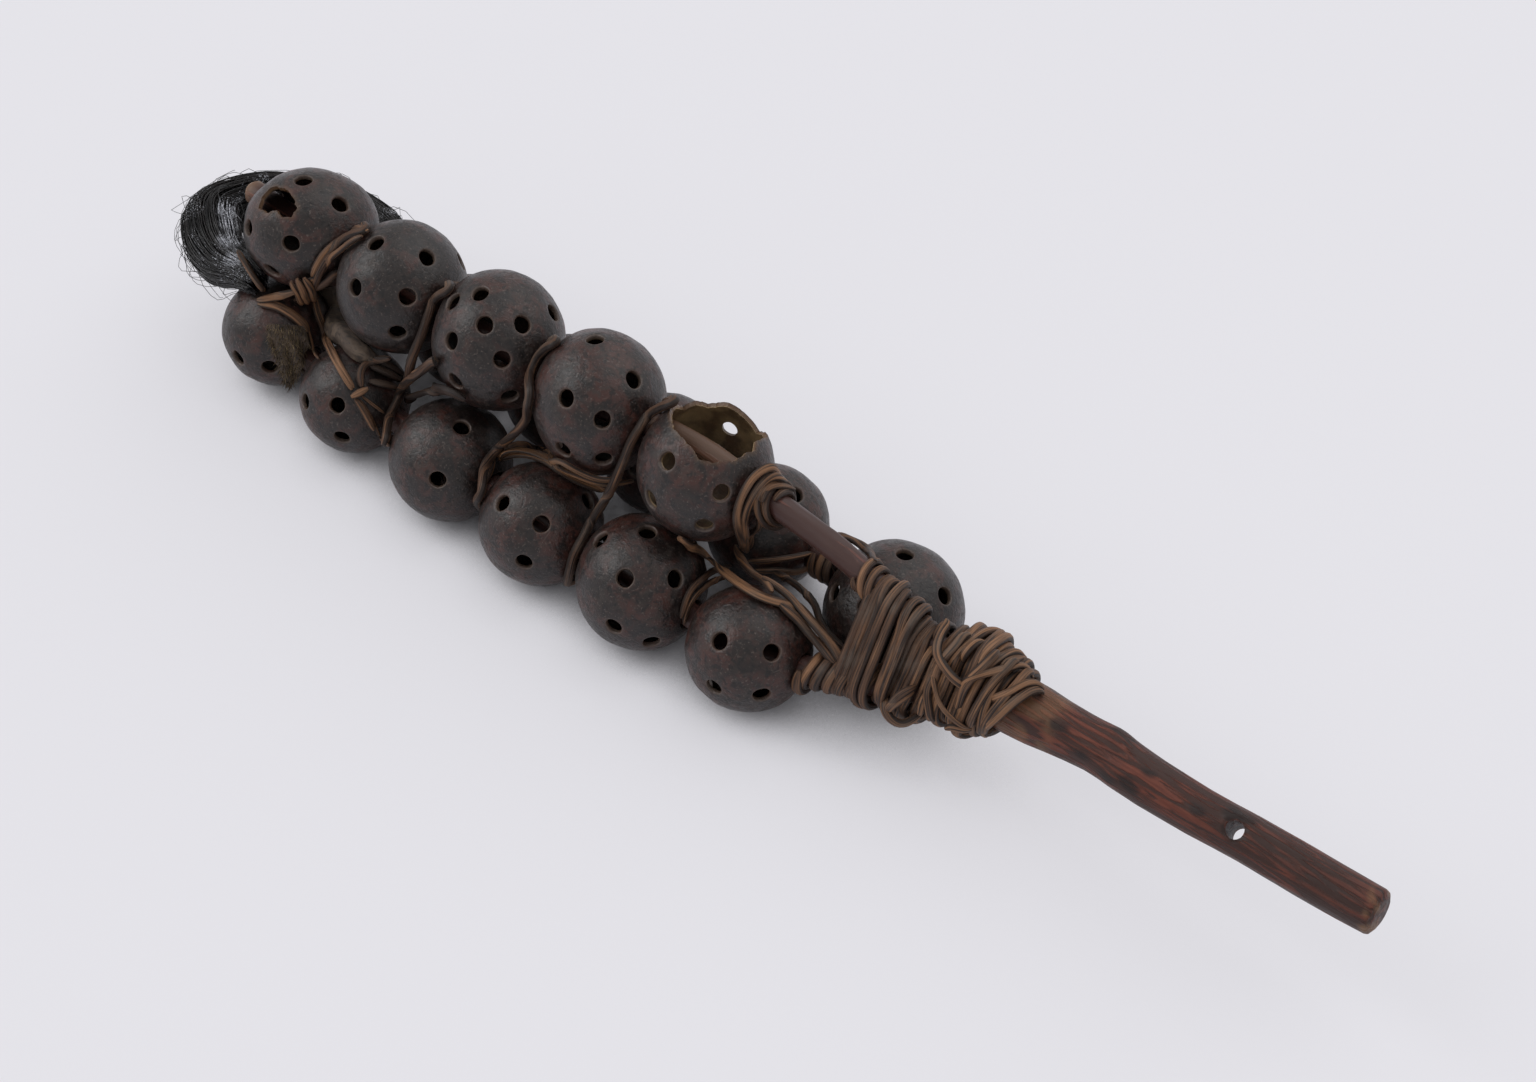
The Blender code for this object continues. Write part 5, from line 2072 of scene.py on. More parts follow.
    def round_stick(self, origin: float, wrap: Wrap) -> Strand:
        """Strand wound round one stick, leaning along it by a share of its height.

        Args:
            origin: x that its start counts from.
            wrap: its measures.

        Returns:
            The strand.
        """
        start = origin + wrap.start
        points = []
        ways = []
        for k in range(round(wrap.turns * self.per_turn) + 1):
            way = np.array(direction(90, wrap.first_turn + 360 * k / self.per_turn))
            x = start + wrap.size * self.stick_pitch * k / self.per_turn
            middle, radius = self.sight.sticks.at(wrap.row, x)
            unrest = noise.noise(Vector((k * self.stick_pace, start * self.stick_apart, 0.5)))
            reach = radius + wrap.size / 2 + wrap.lift + self.stick_unrest * unrest
            points.append(middle + way * reach + np.array((-wrap.lean * way[2] * reach, 0.0, 0.0)))
            ways.append(way)
        path, ways = resampled(np.array(points), np.array(ways), self.sight.loom.STEP)
        path = pushed_off(eased(path, self.easing), wrap.size / 2, self.sight.shells)
        return Strand(path, ways, wrap.size, wrap.size * self.over_flat)

    def build(self) -> None:
        """Wind the lashing of the sticks, the lashing of the handle and its crossing strands."""
        front = self.sight.shells["front_6"]
        origin = front.centre[0] + front.radius + self.setback
        seed = self.SEED
        for name, node, windings, routes, wraps in (
                ("lashing_of_sticks", "stick_lashing", self.FIRST, self.OVER_STICKS, self.ROUND_STICKS),
                ("lashing_of_handle", "handle_lashing", self.SECOND, (), ()),
                ("crossing_strands", "cross_lashing", self.CROSSING, self.OVER_HANDLE, ())):
            strands = []
            for winding in windings:
                strands.append(self.wound(origin, winding, seed))
                seed += self.SEED_STEP
            strands += [self.over(*route) for route in routes]
            strands += [self.round_stick(origin, wrap) for wrap in wraps]
            self.sight.loom.weave(name, strands, node)


@dataclass
class Ties:
    """Vines in the grooves between the shells, the collar at the broken shell and the rear stick's tie."""

    sight: Sight
    lashings: Lashings
    vine: float = 0.0038
    vine_flat: float = 0.9
    vine_tone: float = -0.5
    sweep: float = 20.0
    dive: float = 0.0100
    tail_width: float = 0.0034
    tail_thickness: float = 0.0024
    tail_lift: float = 0.00264
    tail_turn: float = -75.0
    rear_width: float = 0.0034
    rear_thickness: float = 0.00238
    rear_tone: float = -0.4
    rear_lift: float = 0.00204

    COLLAR = (Wrap("top", -0.0005, 2.6, 170.0, 0.0034, 0.35),
              Wrap("top", 0.0010, 1.8, 120.0, 0.0030, 0.45, 0.0024))
    REAR = Wrap("rear", 0.0020, 2.4, 30.0, 0.0036, 0.1)
    REAR_END = ((834, 536, None), (850, 539, None), (866, 548), (875, 561))
    TAILS = (
        (((771, 466, None), (752, 477), (741, 497), (736, 516), (739, 531), (745, 549)), 0.5),
        (((774, 474, None), (760, 484, None), (749, 502), (743, 522), (744, 540, None), (746, 552)), 0.2),
        (((772, 484, None), (757, 497), (753, 514, None), (750, 532, None), (749, 548)), -0.1),
    )
    SEEN = (
        (((366, 231), (350, 236), (336, 245), (326, 259), (318, 274), (314, 288)),),
        (((436, 360), (427, 366, None), (406, 383, None), (399, 393), (390, 413), (386, 442)),
         ((450, 290), (433, 300), (426, 320), (419, 341), (412, 358, None))),
        (((556, 343), (537, 356), (530, 370), (530, 395), (528, 416, None), (514, 434, None), (496, 450),
          (485, 463), (482, 494)),),
        (((674, 403), (646, 416), (631, 441), (621, 466, None), (608, 495, None), (587, 528), (573, 555),
          (566, 584)),),
    )

    def groove(self, row: str, station: int) -> tuple[Array, float]:
        """Circle round a stick in which a strand lies between two shells.

        Args:
            row: row of the shells.
            station: number of the first one.

        Returns:
            The circle's middle and radius.
        """
        first = self.sight.shells[f"{row}_{station}"]
        second = self.sight.shells[f"{row}_{station + 1}"]
        span = float(np.linalg.norm(second.centre - first.centre))
        near = first.radius + self.vine / 2
        far = second.radius + self.vine / 2
        shift = (span ** 2 + near ** 2 - far ** 2) / (2 * span)
        middle, radius = self.sight.sticks.at(row, first.centre[0] + shift)
        return middle, max(radius + self.vine / 2, math.sqrt(max(near ** 2 - shift ** 2, 0.0)))

    def back(self, station: int, leaves: Array, comes: Array) -> list[Array]:
        """Points of the way under and behind the sticks, from one end of a vine to another.

        Args:
            station: number of the groove.
            leaves: where the vine goes out of sight.
            comes: where it comes back.

        Returns:
            The points.
        """
        rows = ("top", "rear") if station == 1 else ("top", "front", "rear")
        circles = [self.groove(row, station) for row in rows]
        heart = sum(middle for middle, _ in circles) / len(circles)
        turns = [math.degrees(math.atan2(heart[1] - spot[1], spot[2] - heart[2])) for spot in (leaves, comes)]
        turn = turns[0] + self.sweep
        points = []
        while turn < turns[1] + 360 - self.sweep:
            way = np.array(direction(90, turn))
            middle, reach = max(circles, key=lambda circle: float(circle[0] @ way) + circle[1])
            points.append(middle + way * reach)
            turn += self.sweep
        return points

    def vine_tie(self, station: int, routes: tuple) -> Strand:
        """Vine that is seen along some routes and goes back out of sight between them.

        Args:
            station: number of the groove.
            routes: pixels of each stretch seen.

        Returns:
            The strand.
        """
        legs = [self.sight.spots(route, self.vine / 2) for route in routes]
        points = list(legs[0]) + self.back(station, legs[0][-1], legs[-1][0])
        away = -np.array(self.sight.view.towards())
        if len(legs) > 1:
            shell = self.sight.shells[f"top_{station + 1}"]
            out = points[0] - shell.centre
            reach = np.linalg.norm(out)
            start = shell.centre + unit(out / reach + away) * reach
            points = [start, *points, *legs[1], legs[0][2] + away * self.vine]
        else:
            points = [points[0] + away * self.dive, *points, points[0], points[0] + away * self.dive]
        thickness = self.vine * self.vine_flat
        return self.sight.drawn(np.array(points), self.vine / 2, self.vine, thickness, self.vine_tone)

    def build(self) -> None:
        """Make the vines, the collar and the rear tie."""
        loom = self.sight.loom
        for station, routes in enumerate(self.SEEN, 1):
            loom.weave(f"vine_tie_{station}", [self.vine_tie(station, routes)], f"groove_tie_{station}")
        loom.weave("collar_strands", self.collar(), "collar")
        shell = self.sight.shells["rear_5"]
        wound = self.lashings.round_stick(shell.centre[0] + shell.radius, self.REAR)
        points = np.concatenate((wound.points[-1:], self.sight.spots(self.REAR_END, self.rear_lift)))
        sizes = (self.rear_width, self.rear_thickness)
        end = self.sight.drawn(points, self.rear_lift, *sizes, self.rear_tone)
        loom.weave("rear_stick_tie", [wound, end], "rear_tie")

    def collar(self) -> list[Strand]:
        """Strands round the top stick against the broken shell, and their tails.

        Returns:
            The strands.
        """
        shell = self.sight.shells["top_5"]
        start = shell.centre[0] + shell.radius
        strands = [self.lashings.round_stick(start, wrap) for wrap in self.COLLAR]
        sizes = (self.tail_width, self.tail_thickness)
        for number, (route, tone) in enumerate(self.TAILS):
            middle, radius = self.sight.sticks.at("top", start + self.tail_width * number)
            behind = middle + np.array(direction(90, self.tail_turn)) * (radius + self.vine)
            points = np.concatenate((behind[None], self.sight.spots(route, self.tail_lift)))
            strands.append(self.sight.drawn(points, self.tail_lift, *sizes, tone))
        return strands


@dataclass
class Straps:
    """Flat strips over the shells, and the knots at the tip."""

    sight: Sight

    OVER_LAST = (
        (((680, 537), (706, 556), (727, 574, None), (750, 591), (772, 601), (798, 609)),
         0.0046, 0.0018, 0.9, 0.2),
        (((735, 546), (744, 564, None), (758, 578, None), (772, 592)), 0.0034, 0.0022, 0.0, 0.8),
        (((762, 577, None), (783, 591), (799, 609), (815, 626, None), (834, 648, None), (843, 664)),
         0.0042, 0.0026, 0.5, 0.4),
        (((774, 572), (795, 584, None), (811, 599, None), (826, 620, None), (846, 650)),
         0.0036, 0.0026, -0.2, 0.4),
        (((780, 604), (793, 615), (806, 630), (821, 646, None), (836, 663)), 0.0044, 0.0026, 0.1, 0.2),
        (((797, 603), (812, 620, None), (827, 638, None), (842, 657)), 0.0046, 0.0026, -0.4, 0.1),
        (((733, 574, None), (708, 583), (695, 595), (687, 609), (684, 624)), 0.0026, 0.0020, -0.1, 0.2),
        (((731, 566), (710, 572), (692, 587), (685, 602), (681, 618)), 0.0026, 0.0020, -0.3, 0.2),
        (((748, 561), (772, 560), (793, 557), (811, 553)), 0.0026, 0.0022, 0.1, 0.2),
        (((755, 570), (779, 570), (796, 573), (808, 568), (820, 560, None)), 0.0030, 0.0022, 0.4, 0.2),
    )
    OVER_FRONT = (
        (((497, 456), (517, 450), (539, 454), (557, 465), (575, 475), (597, 484), (614, 484, None),
          (634, 481, None)), 0.0058, 0.0019, 0.9, 0.3),
        (((500, 451), (519, 445), (541, 449), (559, 460), (577, 471), (599, 480, None), (622, 479, None)),
         0.0034, 0.0019, 0.8, 0.4),
        (((499, 460), (518, 455), (540, 459), (557, 470), (576, 481), (598, 489), (616, 488, None)),
         0.0034, 0.0019, 0.6, 0.2),
        (((494, 459), (490, 470), (486, 482)), 0.0030, 0.0020, -0.2, 0.2),
    )
    DOWN_TIP = (
        (((312, 296), (317, 318), (323, 336), (331, 354), (341, 372), (352, 390)), 0.0022, 0.0017, 0.7, 0.5),
        (((315, 295), (320, 317), (326, 335), (334, 353), (344, 371), (354, 388)), 0.0022, 0.0017, 0.4, 0.5),
        (((351, 397), (358, 394), (368, 388)), 0.0034, 0.0024, 0.6, 0.8),
        (((355, 399), (360, 405), (366, 415), (374, 430)), 0.0030, 0.0022, 0.0, 0.3),
        (((362, 387), (359, 376), (363, 366), (372, 361), (390, 358)), 0.0034, 0.0026, -0.5, 0.4),
        (((365, 368, None), (384, 372, None), (403, 375)), 0.0034, 0.0026, -1.0, 0.6),
        (((366, 374, None), (384, 378, None), (401, 381)), 0.0034, 0.0026, -0.9, 0.3),
        (((369, 381), (384, 385, None), (398, 388)), 0.0030, 0.0024, -0.8, 0.2),
        (((405, 398), (420, 394, None), (437, 389, None), (452, 392), (470, 392, None)),
         0.0056, 0.0026, -1.1, 0.2),
        (((362, 396), (372, 404), (384, 413)), 0.0014, 0.0012, 0.2, 0.3),
        (((360, 400), (369, 413), (379, 436), (389, 446)), 0.0014, 0.0012, 0.1, 0.3),
    )
    KNOT = (
        (((296, 291), (276, 297), (259, 302), (257, 300)), 0.0036, 0.0022, 0.9, 0.6),
        (((258, 303), (273, 304), (290, 313), (306, 326), (308, 331)), 0.0042, 0.0018, 0.8, 0.2),
        (((308, 328), (309, 336), (313, 350), (319, 359)), 0.0013, 0.0011, 0.3, 0.2),
        (((238, 251, 0.057), (247, 266, 0.058), (256, 281, 0.056), (264, 291)), 0.0036, 0.0024, 0.6, 0.3),
        (((312, 276), (319, 259), (333, 244), (348, 235), (368, 231)), 0.0030, 0.0022, 0.6, 0.3),
        (((318, 277), (326, 262), (342, 249), (362, 236)), 0.0030, 0.0022, 0.3, 0.3),
        (((291, 282), (297, 291), (302, 304)), 0.0034, 0.0024, 0.5, 1.0),
        (((297, 279), (303, 289), (308, 303)), 0.0034, 0.0024, 0.3, 1.1),
        (((304, 278), (311, 287), (315, 300)), 0.0034, 0.0024, 0.4, 0.9),
        (((294, 287), (306, 282), (320, 277)), 0.0032, 0.0022, 0.2, 0.5),
        (((294, 300), (306, 302), (318, 296)), 0.0030, 0.0022, 0.0, 0.4),
    )

    def build(self) -> None:
        """Make the straps and the knots."""
        for name, routes, node in (("straps_over_last_shell", self.OVER_LAST, "cross_strap"),
                                   ("strap_over_front_shell", self.OVER_FRONT, "front_strap"),
                                   ("strands_down_from_tip", self.DOWN_TIP, "tip_strap"),
                                   ("knot_at_tip", self.KNOT, "tip_knot")):
            self.sight.loom.weave(name, [self.sight.strand(*route) for route in routes], node)


@dataclass(frozen=True)
class HideFinish:
    """Dull rolled hide: grey-brown with fine creases."""

    name: str = "hide"
    hide: Colour = srgb(78, 65, 55)
    crease: Colour = srgb(40, 33, 29)
    pale: Colour = srgb(112, 96, 80)
    crease_size: float = 0.0022
    patch_size: float = 0.007
    relief: float = 0.0005

    def material(self) -> Material:
        """Material with creases along X.

        Returns:
            The material.
        """
        kit = MaterialKit(self.name)
        crease = kit.noise(self.crease_size, 5.0, kit.stretched((0.3, 1.0, 1.0)), 0.8)
        patch = kit.smooth(kit.noise(self.patch_size, 4.0), 0.45, 0.68)
        colour = kit.mix(kit.times(patch, 0.6), self.hide, self.pale)
        colour = kit.mix(kit.smooth(crease, 0.55, 0.38, 0.8), colour, self.crease)
        return kit.finish(colour, kit.total(kit.smooth(crease, 0.3, 0.7, 0.15), 0.68), crease, self.relief)


@dataclass(frozen=True)
class HairFinish:
    """Coarse black hair with a dull gloss, and painted glints: pale specks in patches and round a few points.
    """

    name: str = "black_hair"
    black: Colour = srgb(9, 8, 10)
    brown: Colour = srgb(34, 27, 26)
    # Pale colour of the painted glints.
    glint: Colour = srgb(206, 208, 216)
    glint_size: float = 0.0007
    patch_size: float = 0.011
    gleam_reach: float = 0.0062
    strip_size: float = 0.0015
    relief: float = 0.00004
    sheen: float = 0.24
    gloss: float = 0.5

    def material(self, gleams: Array) -> Material:
        """Material that varies from hair to hair.

        Args:
            gleams: points round which painted highlights are laid on the bent hairs.

        Returns:
            The material.
        """
        kit = MaterialKit(self.name)
        shade = kit.smooth(kit.attribute("shade"), 0.3, 1.0, 0.7)
        strip = kit.noise(self.strip_size, 2.0)
        colour = kit.mix(shade, self.black, self.brown)
        # Painted highlight: pale specks in scattered patches.
        patch = kit.smooth(kit.noise(self.patch_size, 2.0), 0.52, 0.62)
        specks = kit.noise(self.glint_size, 2.0)
        colour = kit.mix(kit.times(patch, kit.smooth(specks, 0.56, 0.66, 0.9)), colour, self.glint)
        # Painted highlight: pale specks close round each gleam point.
        for gleam in gleams:
            off = kit.vector("SUBTRACT", kit.where, tuple(gleam))
            close = kit.smooth(kit.vector("DOT_PRODUCT", off, off), self.gleam_reach ** 2, 0.0)
            colour = kit.mix(kit.times(close, kit.smooth(specks, 0.36, 0.56)), colour, self.glint)
        roughness = kit.total(kit.smooth(strip, 0.2, 0.8, 0.15), self.sheen)
        return kit.finish(colour, roughness, strip, self.relief, Specular_IOR_Level=self.gloss)


class HairGrower:
    """Geometry Nodes tree that fills a hank with single hairs along its middle line."""

    LATEST_START = 0.25
    APART = 3.1
    SIDES = 3

    def __init__(self) -> None:
        """Build the tree."""
        sizes = {"Hairs": "Int", "Hair Radius": "Float", "Spread": "Float", "Wander": "Float",
                 "Wander Size": "Float", "Shortest": "Float", "Seed": "Int"}
        kit = GeometryKit("hair_hank", sizes)
        given = kit.given
        curve = kit.add("GeometryNodeMeshToCurve", {"Mesh": given["Geometry"]}).outputs["Curve"]
        tangent = kit.add("GeometryNodeInputTangent").outputs["Tangent"]
        up = kit.way("outward")
        side = kit.vector("CROSS_PRODUCT", tangent, up)
        curve = kit.store(curve, "side", kit.vector("NORMALIZE", side), "FLOAT_VECTOR")
        many = kit.add("GeometryNodeDuplicateElements", {"Geometry": curve, "Amount": given["Hairs"]},
                       domain="SPLINE")
        hair = kit.store(many.outputs["Geometry"], "number", many.outputs["Duplicate Index"], "INT", "CURVE")
        number = kit.named("number", "INT")
        angle = kit.random(0.0, 2 * math.pi, 1, number)
        reach = kit.math("SQRT", kit.random(0.0, 1.0, 2, number))
        reach = kit.times(reach, given["Spread"], kit.named("swell"))
        across = kit.scaled(kit.way("side"), kit.times(kit.math("COSINE", angle), reach))
        rise = kit.scaled(kit.way("outward"), kit.times(kit.math("SINE", angle), reach))
        drift = kit.combined(kit.times(kit.total(number, given["Seed"]), self.APART), 0.0, 0.0)
        place = kit.add("GeometryNodeInputPosition").outputs["Position"]
        where = kit.vector("ADD", kit.scaled(place, kit.math("DIVIDE", 1.0, given["Wander Size"])), drift)
        wave = kit.add("ShaderNodeTexNoise", {"Vector": where, "Scale": 1.0, "Detail": 1.0}).outputs["Color"]
        wave = kit.scaled(kit.vector("SUBTRACT", wave, (0.5, 0.5, 0.5)), given["Wander"])
        hair = kit.moved(hair, Offset=kit.vector("ADD", kit.vector("ADD", across, rise), wave))
        cut = kit.add("GeometryNodeTrimCurve", {"Curve": hair}, mode="FACTOR")
        longest = kit.math("SUBTRACT", 1.0, given["Shortest"])
        late = kit.times(kit.random(0.0, 1.0, 4, number), longest)
        kit.feed_shown(cut, {"Start": kit.times(kit.random(0.0, self.LATEST_START, 3, number), longest),
                             "End": kit.total(given["Shortest"], late)})
        trimmed = kit.store(cut.outputs["Curve"], "shade", kit.random(0.0, 1.0, 5, number), "FLOAT", "CURVE")
        ring = kit.add("GeometryNodeCurvePrimitiveCircle",
                       {"Resolution": self.SIDES, "Radius": given["Hair Radius"]})
        swept = kit.add("GeometryNodeCurveToMesh", {"Curve": trimmed, "Profile Curve": ring.outputs["Curve"],
                                                    "Fill Caps": True})
        kit.close(swept.outputs["Mesh"])
        self.kit = kit


@dataclass(frozen=True)
class FurFinish:
    """Short fur: brown, grey and straw-coloured hairs."""

    dark: Colour = srgb(84, 70, 52)
    pale: Colour = srgb(182, 160, 126)
    patch_size: float = 0.006
    relief: float = 0.0001
    roughness: float = 0.6
    gloss: float = 0.3

    def material(self) -> Material:
        """Material that varies from hair to hair and from patch to patch.

        Returns:
            The material.
        """
        kit = MaterialKit("short_fur")
        patch = kit.noise(self.patch_size, 4.0)
        share = kit.times(kit.attribute("shade"), kit.smooth(patch, 0.35, 0.65))
        colour = kit.mix(share, self.dark, self.pale)
        return kit.finish(colour, self.roughness, patch, self.relief, Specular_IOR_Level=self.gloss)


class FurGrower:
    """Geometry Nodes tree that covers a skin with short hairs combed one way."""

    COMBED = (0.55, -0.75, -0.55)
    TANGLED = 0.45
    ERECT = 0.55
    TIP = 0.00002
    SIDES = 3
    SEED = 5
    SCALES = (0.5, 1.2)

    def __init__(self) -> None:
        """Build the tree."""
        kit = GeometryKit("short_fur", {"Density": "Float", "Hair Length": "Float", "Hair Radius": "Float"})
        given = kit.given
        spread = kit.add("GeometryNodeDistributePointsOnFaces",
                         {"Mesh": given["Geometry"], "Density": given["Density"], "Seed": self.SEED})
        index = kit.add("GeometryNodeInputIndex").outputs["Index"]
        lean = kit.combined(*(kit.random(way - self.TANGLED, way + self.TANGLED, number, index)
                              for number, way in enumerate(self.COMBED, 1)))
        way = kit.vector("ADD", kit.scaled(spread.outputs["Normal"], self.ERECT), lean)
        turn = kit.add("FunctionNodeAlignRotationToVector", {"Vector": way}, axis="Z")
        cone = kit.add("GeometryNodeMeshCone", {"Vertices": self.SIDES, "Radius Top": self.TIP,
                                                "Radius Bottom": given["Hair Radius"],
                                                "Depth": given["Hair Length"]})
        points = kit.store(spread.outputs["Points"], "shade", kit.random(0.0, 1.0, 7, index))
        hairs = kit.add("GeometryNodeInstanceOnPoints",
                        {"Points": points, "Instance": cone.outputs["Mesh"],
                         "Rotation": turn.outputs["Rotation"],
                         "Scale": kit.random(*self.SCALES, 9, index)})
        kit.close(hairs.outputs["Instances"])
        self.kit = kit


@dataclass
class Tail:
    """Hank of hair bent round the tip, with the rolled hide dock and the tag of hide."""

    sight: Sight
    height: float = 0.0450
    thickness: float = 0.0185
    clear: float = 0.45
    hairs: int = 960
    hair: float = 0.00025
    strays: int = 80
    stray_hair: float = 0.000125
    stray_spread: float = 0.01036
    ring_step: float = 0.0042
    easing: int = 3
    dock_radius: float = 0.0054
    dock_sides: int = 28
    dock_step: float = 0.0012
    dock_easing: int = 10
    dock_sunk: float = 0.2
    dock_clear: float = 0.7
    dock_round: float = 14
    dock_blunt: float = 0.1
    dock_fold: float = 0.0007
    dock_waves: tuple = (3, 1.6)
    tag_columns: int = 14
    tag_rows: int = 22
    tag_seat: float = 0.0016
    tag_step: float = 0.0006
    tag_lift: float = 0.0024
    tag_clear: float = 0.0014
    tag_wall: float = 0.0011
    crumple: float = 0.0012
    crumple_grain: float = 260
    fold: float = 0.0030
    fold_grain: tuple = (150, 420)
    fur_density: float = 1.5e6
    fur_length: float = 0.0026
    fur_hair: float = 0.00013

    LOOP = ((268, 293), (250, 281), (234, 271), (220, 257), (214, 238), (213, 221), (218, 208), (233, 201),
            (251, 195), (280, 189), (318, 193), (350, 200), (370, 208), (387, 221), (402, 240))
    # Points where painted highlights are laid on the bent hair.
    GLEAMS = ((227, 208, 0.056), (230, 221, 0.056), (229, 238, 0.056), (234, 257, 0.056))
    FULLNESS = ((0.0, 0.55), (0.12, 0.95), (0.26, 1.36), (0.37, 1.32), (0.46, 1.02), (0.62, 0.74),
                (1.0, 0.32))
    HANK = {"Wander": 0.005, "Wander_Size": 0.05, "Shortest": 0.82, "Seed": 11}
    STRAYS = {"Wander": 0.034, "Wander_Size": 0.024, "Shortest": 0.30, "Seed": 57}
    DOCK = ((312, 276, None), (321, 294, None), (329, 311), (337, 328), (350, 347), (362, 359),
            (374, 367, None))
    DOCK_FULLNESS = ((0.0, 0.75), (0.35, 1.0), (0.7, 0.95), (1.0, 0.6))
    TAG_LEFT = ((268, 324), (269, 338), (274, 352), (279, 366), (284, 380))
    TAG_RIGHT = ((303, 326), (306, 341), (303, 356), (297, 370), (290, 383))

    def guide(self, name: str) -> bpy.types.Mesh:
        """Middle line of the hank, with its outward side and how full it is at each point.

        Args:
            name: name of the mesh.

        Returns:
            A mesh of the line's points and edges.
        """
        eye = self.sight.view.place()
        rays = np.array([self.sight.view.ray(*pixel) for pixel in self.LOOP])
        spots = eye + rays * ((self.height - eye[2]) / rays[:, 2])[:, None]
        path = curved(spots, self.ring_step)
        count = len(path)
        swell = np.interp(np.linspace(0, 1, count), *zip(*self.FULLNESS))
        path = pushed_off(path, self.thickness * self.clear * swell, self.sight.shells)
        mesh = bpy.data.meshes.new(name)
        mesh.from_pydata(eased(path, self.easing).tolist(), [(k, k + 1) for k in range(count - 1)], [])
        carry(mesh, {"outward": np.tile((0.0, 0.0, 1.0), (count, 1)), "swell": swell})
        return mesh

    def build(self) -> None:
        """Make the hair, the dock and the tag."""
        grower = HairGrower()
        material = HairFinish().material(self.sight.spots(self.GLEAMS, 0.0))
        hank = grower.kit.grow("hair_strands", self.guide("hair_strands"), Hairs=self.hairs,
                               Hair_Radius=self.hair, Spread=self.thickness / 2, Material=material,
                               **self.HANK)
        settle_in(hank, "hair", "hair_hank")
        strays = grower.kit.grow("stray_hairs", self.guide("stray_hairs"), Hairs=self.strays,
                                 Hair_Radius=self.stray_hair, Spread=self.stray_spread, Material=material,
                                 **self.STRAYS)
        settle_in(strays, "hair")
        hide = HideFinish().material()
        self.build_dock(hide)
        self.build_tag(hide)

    def dock_skin(self, along: float, turn: float) -> float:
        """Lengthwise folds of the rolled hide."""
        return self.dock_fold * skin_noise(along, turn, self.dock_waves)

    def build_dock(self, material: Material) -> None:
        """Make the rolled hide between the rows.

        Args:
            material: finish of the hide.
        """
        spots = self.sight.spots(self.DOCK, -self.dock_radius * self.dock_sunk)
        path = curved(spots, self.dock_step)
        path = pushed_off(path, self.dock_radius * self.dock_clear, self.sight.shells)
        share = np.linspace(0, 1, len(path))
        full = np.interp(share, *zip(*self.DOCK_FULLNESS))
        ends = np.sqrt(np.clip(np.minimum(share, 1 - share) * self.dock_round, self.dock_blunt, 1))
        vertices, faces, _ = tube(eased(path, self.dock_easing), self.dock_radius * full * ends,
                                  self.dock_sides, self.dock_skin)
        piece = add_piece("rolled_hide_dock", vertices, faces, material)
        settle_in(piece, "hide", "tail_dock")

    def build_tag(self, material: Material) -> None:
        """Make the shrivelled tag of hide that hangs over the first front shell, and its fur.

        Args:
            material: finish of the hide.
        """
        rows = self.tag_rows
        sides = []
        for pixels in (self.TAG_LEFT, self.TAG_RIGHT):
            edge = curved(self.sight.spots(pixels, self.tag_seat), self.tag_step)
            length = np.linalg.norm(np.diff(edge, axis=0), axis=1).sum()
            sides.append(resampled(edge, edge, length / (rows - 1))[0][:rows])
        left, right = sides
        flat = np.concatenate([left * (1 - share) + right * share
                               for share in np.linspace(0, 1, self.tag_columns)])
        shell = self.sight.shells["front_1"]
        ways = unit(flat - shell.centre)
        crumple = np.array([noise.noise(Vector(point) * self.crumple_grain) for point in flat])
        along, across = self.fold_grain
        folds = np.array([abs(noise.noise(Vector((x * along, y * across, 0.4)))) for x, y, _ in flat])
        reach = shell.radius + self.tag_lift + self.crumple * crumple + self.fold * folds
        top = pushed_off(shell.centre + ways * reach[:, None], self.tag_clear, self.sight.shells)
        count = len(flat)
        corners = [c * rows + r for c in range(self.tag_columns - 1) for r in range(rows - 1)]
        grid = [(a, a + 1, a + rows + 1, a + rows) for a in corners]
        faces = grid + [tuple(k + count for k in reversed(face)) for face in grid]
        faces += [(b, a, a + count, b + count) for a, b in open_edges(grid)]
        vertices = np.concatenate((top, top - ways * self.tag_wall))
        piece = add_piece("hide_tag_skin", vertices, faces, material)
        mesh = bmesh.new()
        mesh.from_mesh(piece.data)
        bmesh.ops.recalc_face_normals(mesh, faces=mesh.faces[:])
        mesh.to_mesh(piece.data)
        mesh.free()
        settle_in(piece, "hide", "hide_tag")
        fur = FurGrower().kit.grow("hide_tag_fur", piece.data.copy(), Density=self.fur_density,
                                   Hair_Length=self.fur_length, Hair_Radius=self.fur_hair,
                                   Material=FurFinish().material())
        settle_in(fur, "hide")


@dataclass(frozen=True)
class SeedFinish:
    """Dry seed: brown with dark flecks."""

    seed: Colour = srgb(98, 66, 44)
    fleck: Colour = srgb(48, 32, 24)
    fleck_size: float = 0.0012
    relief: float = 0.0002

    def material(self) -> Material:
        """Material of the loose seeds.

        Returns:
            The material.
        """
        kit = MaterialKit("dry_seed")
        fleck = kit.noise(self.fleck_size, 4.0)
        colour = kit.mix(kit.smooth(fleck, 0.45, 0.65), self.seed, self.fleck)
        roughness = kit.total(kit.smooth(fleck, 0.3, 0.7, 0.2), 0.45)
        return kit.finish(colour, roughness, fleck, self.relief)


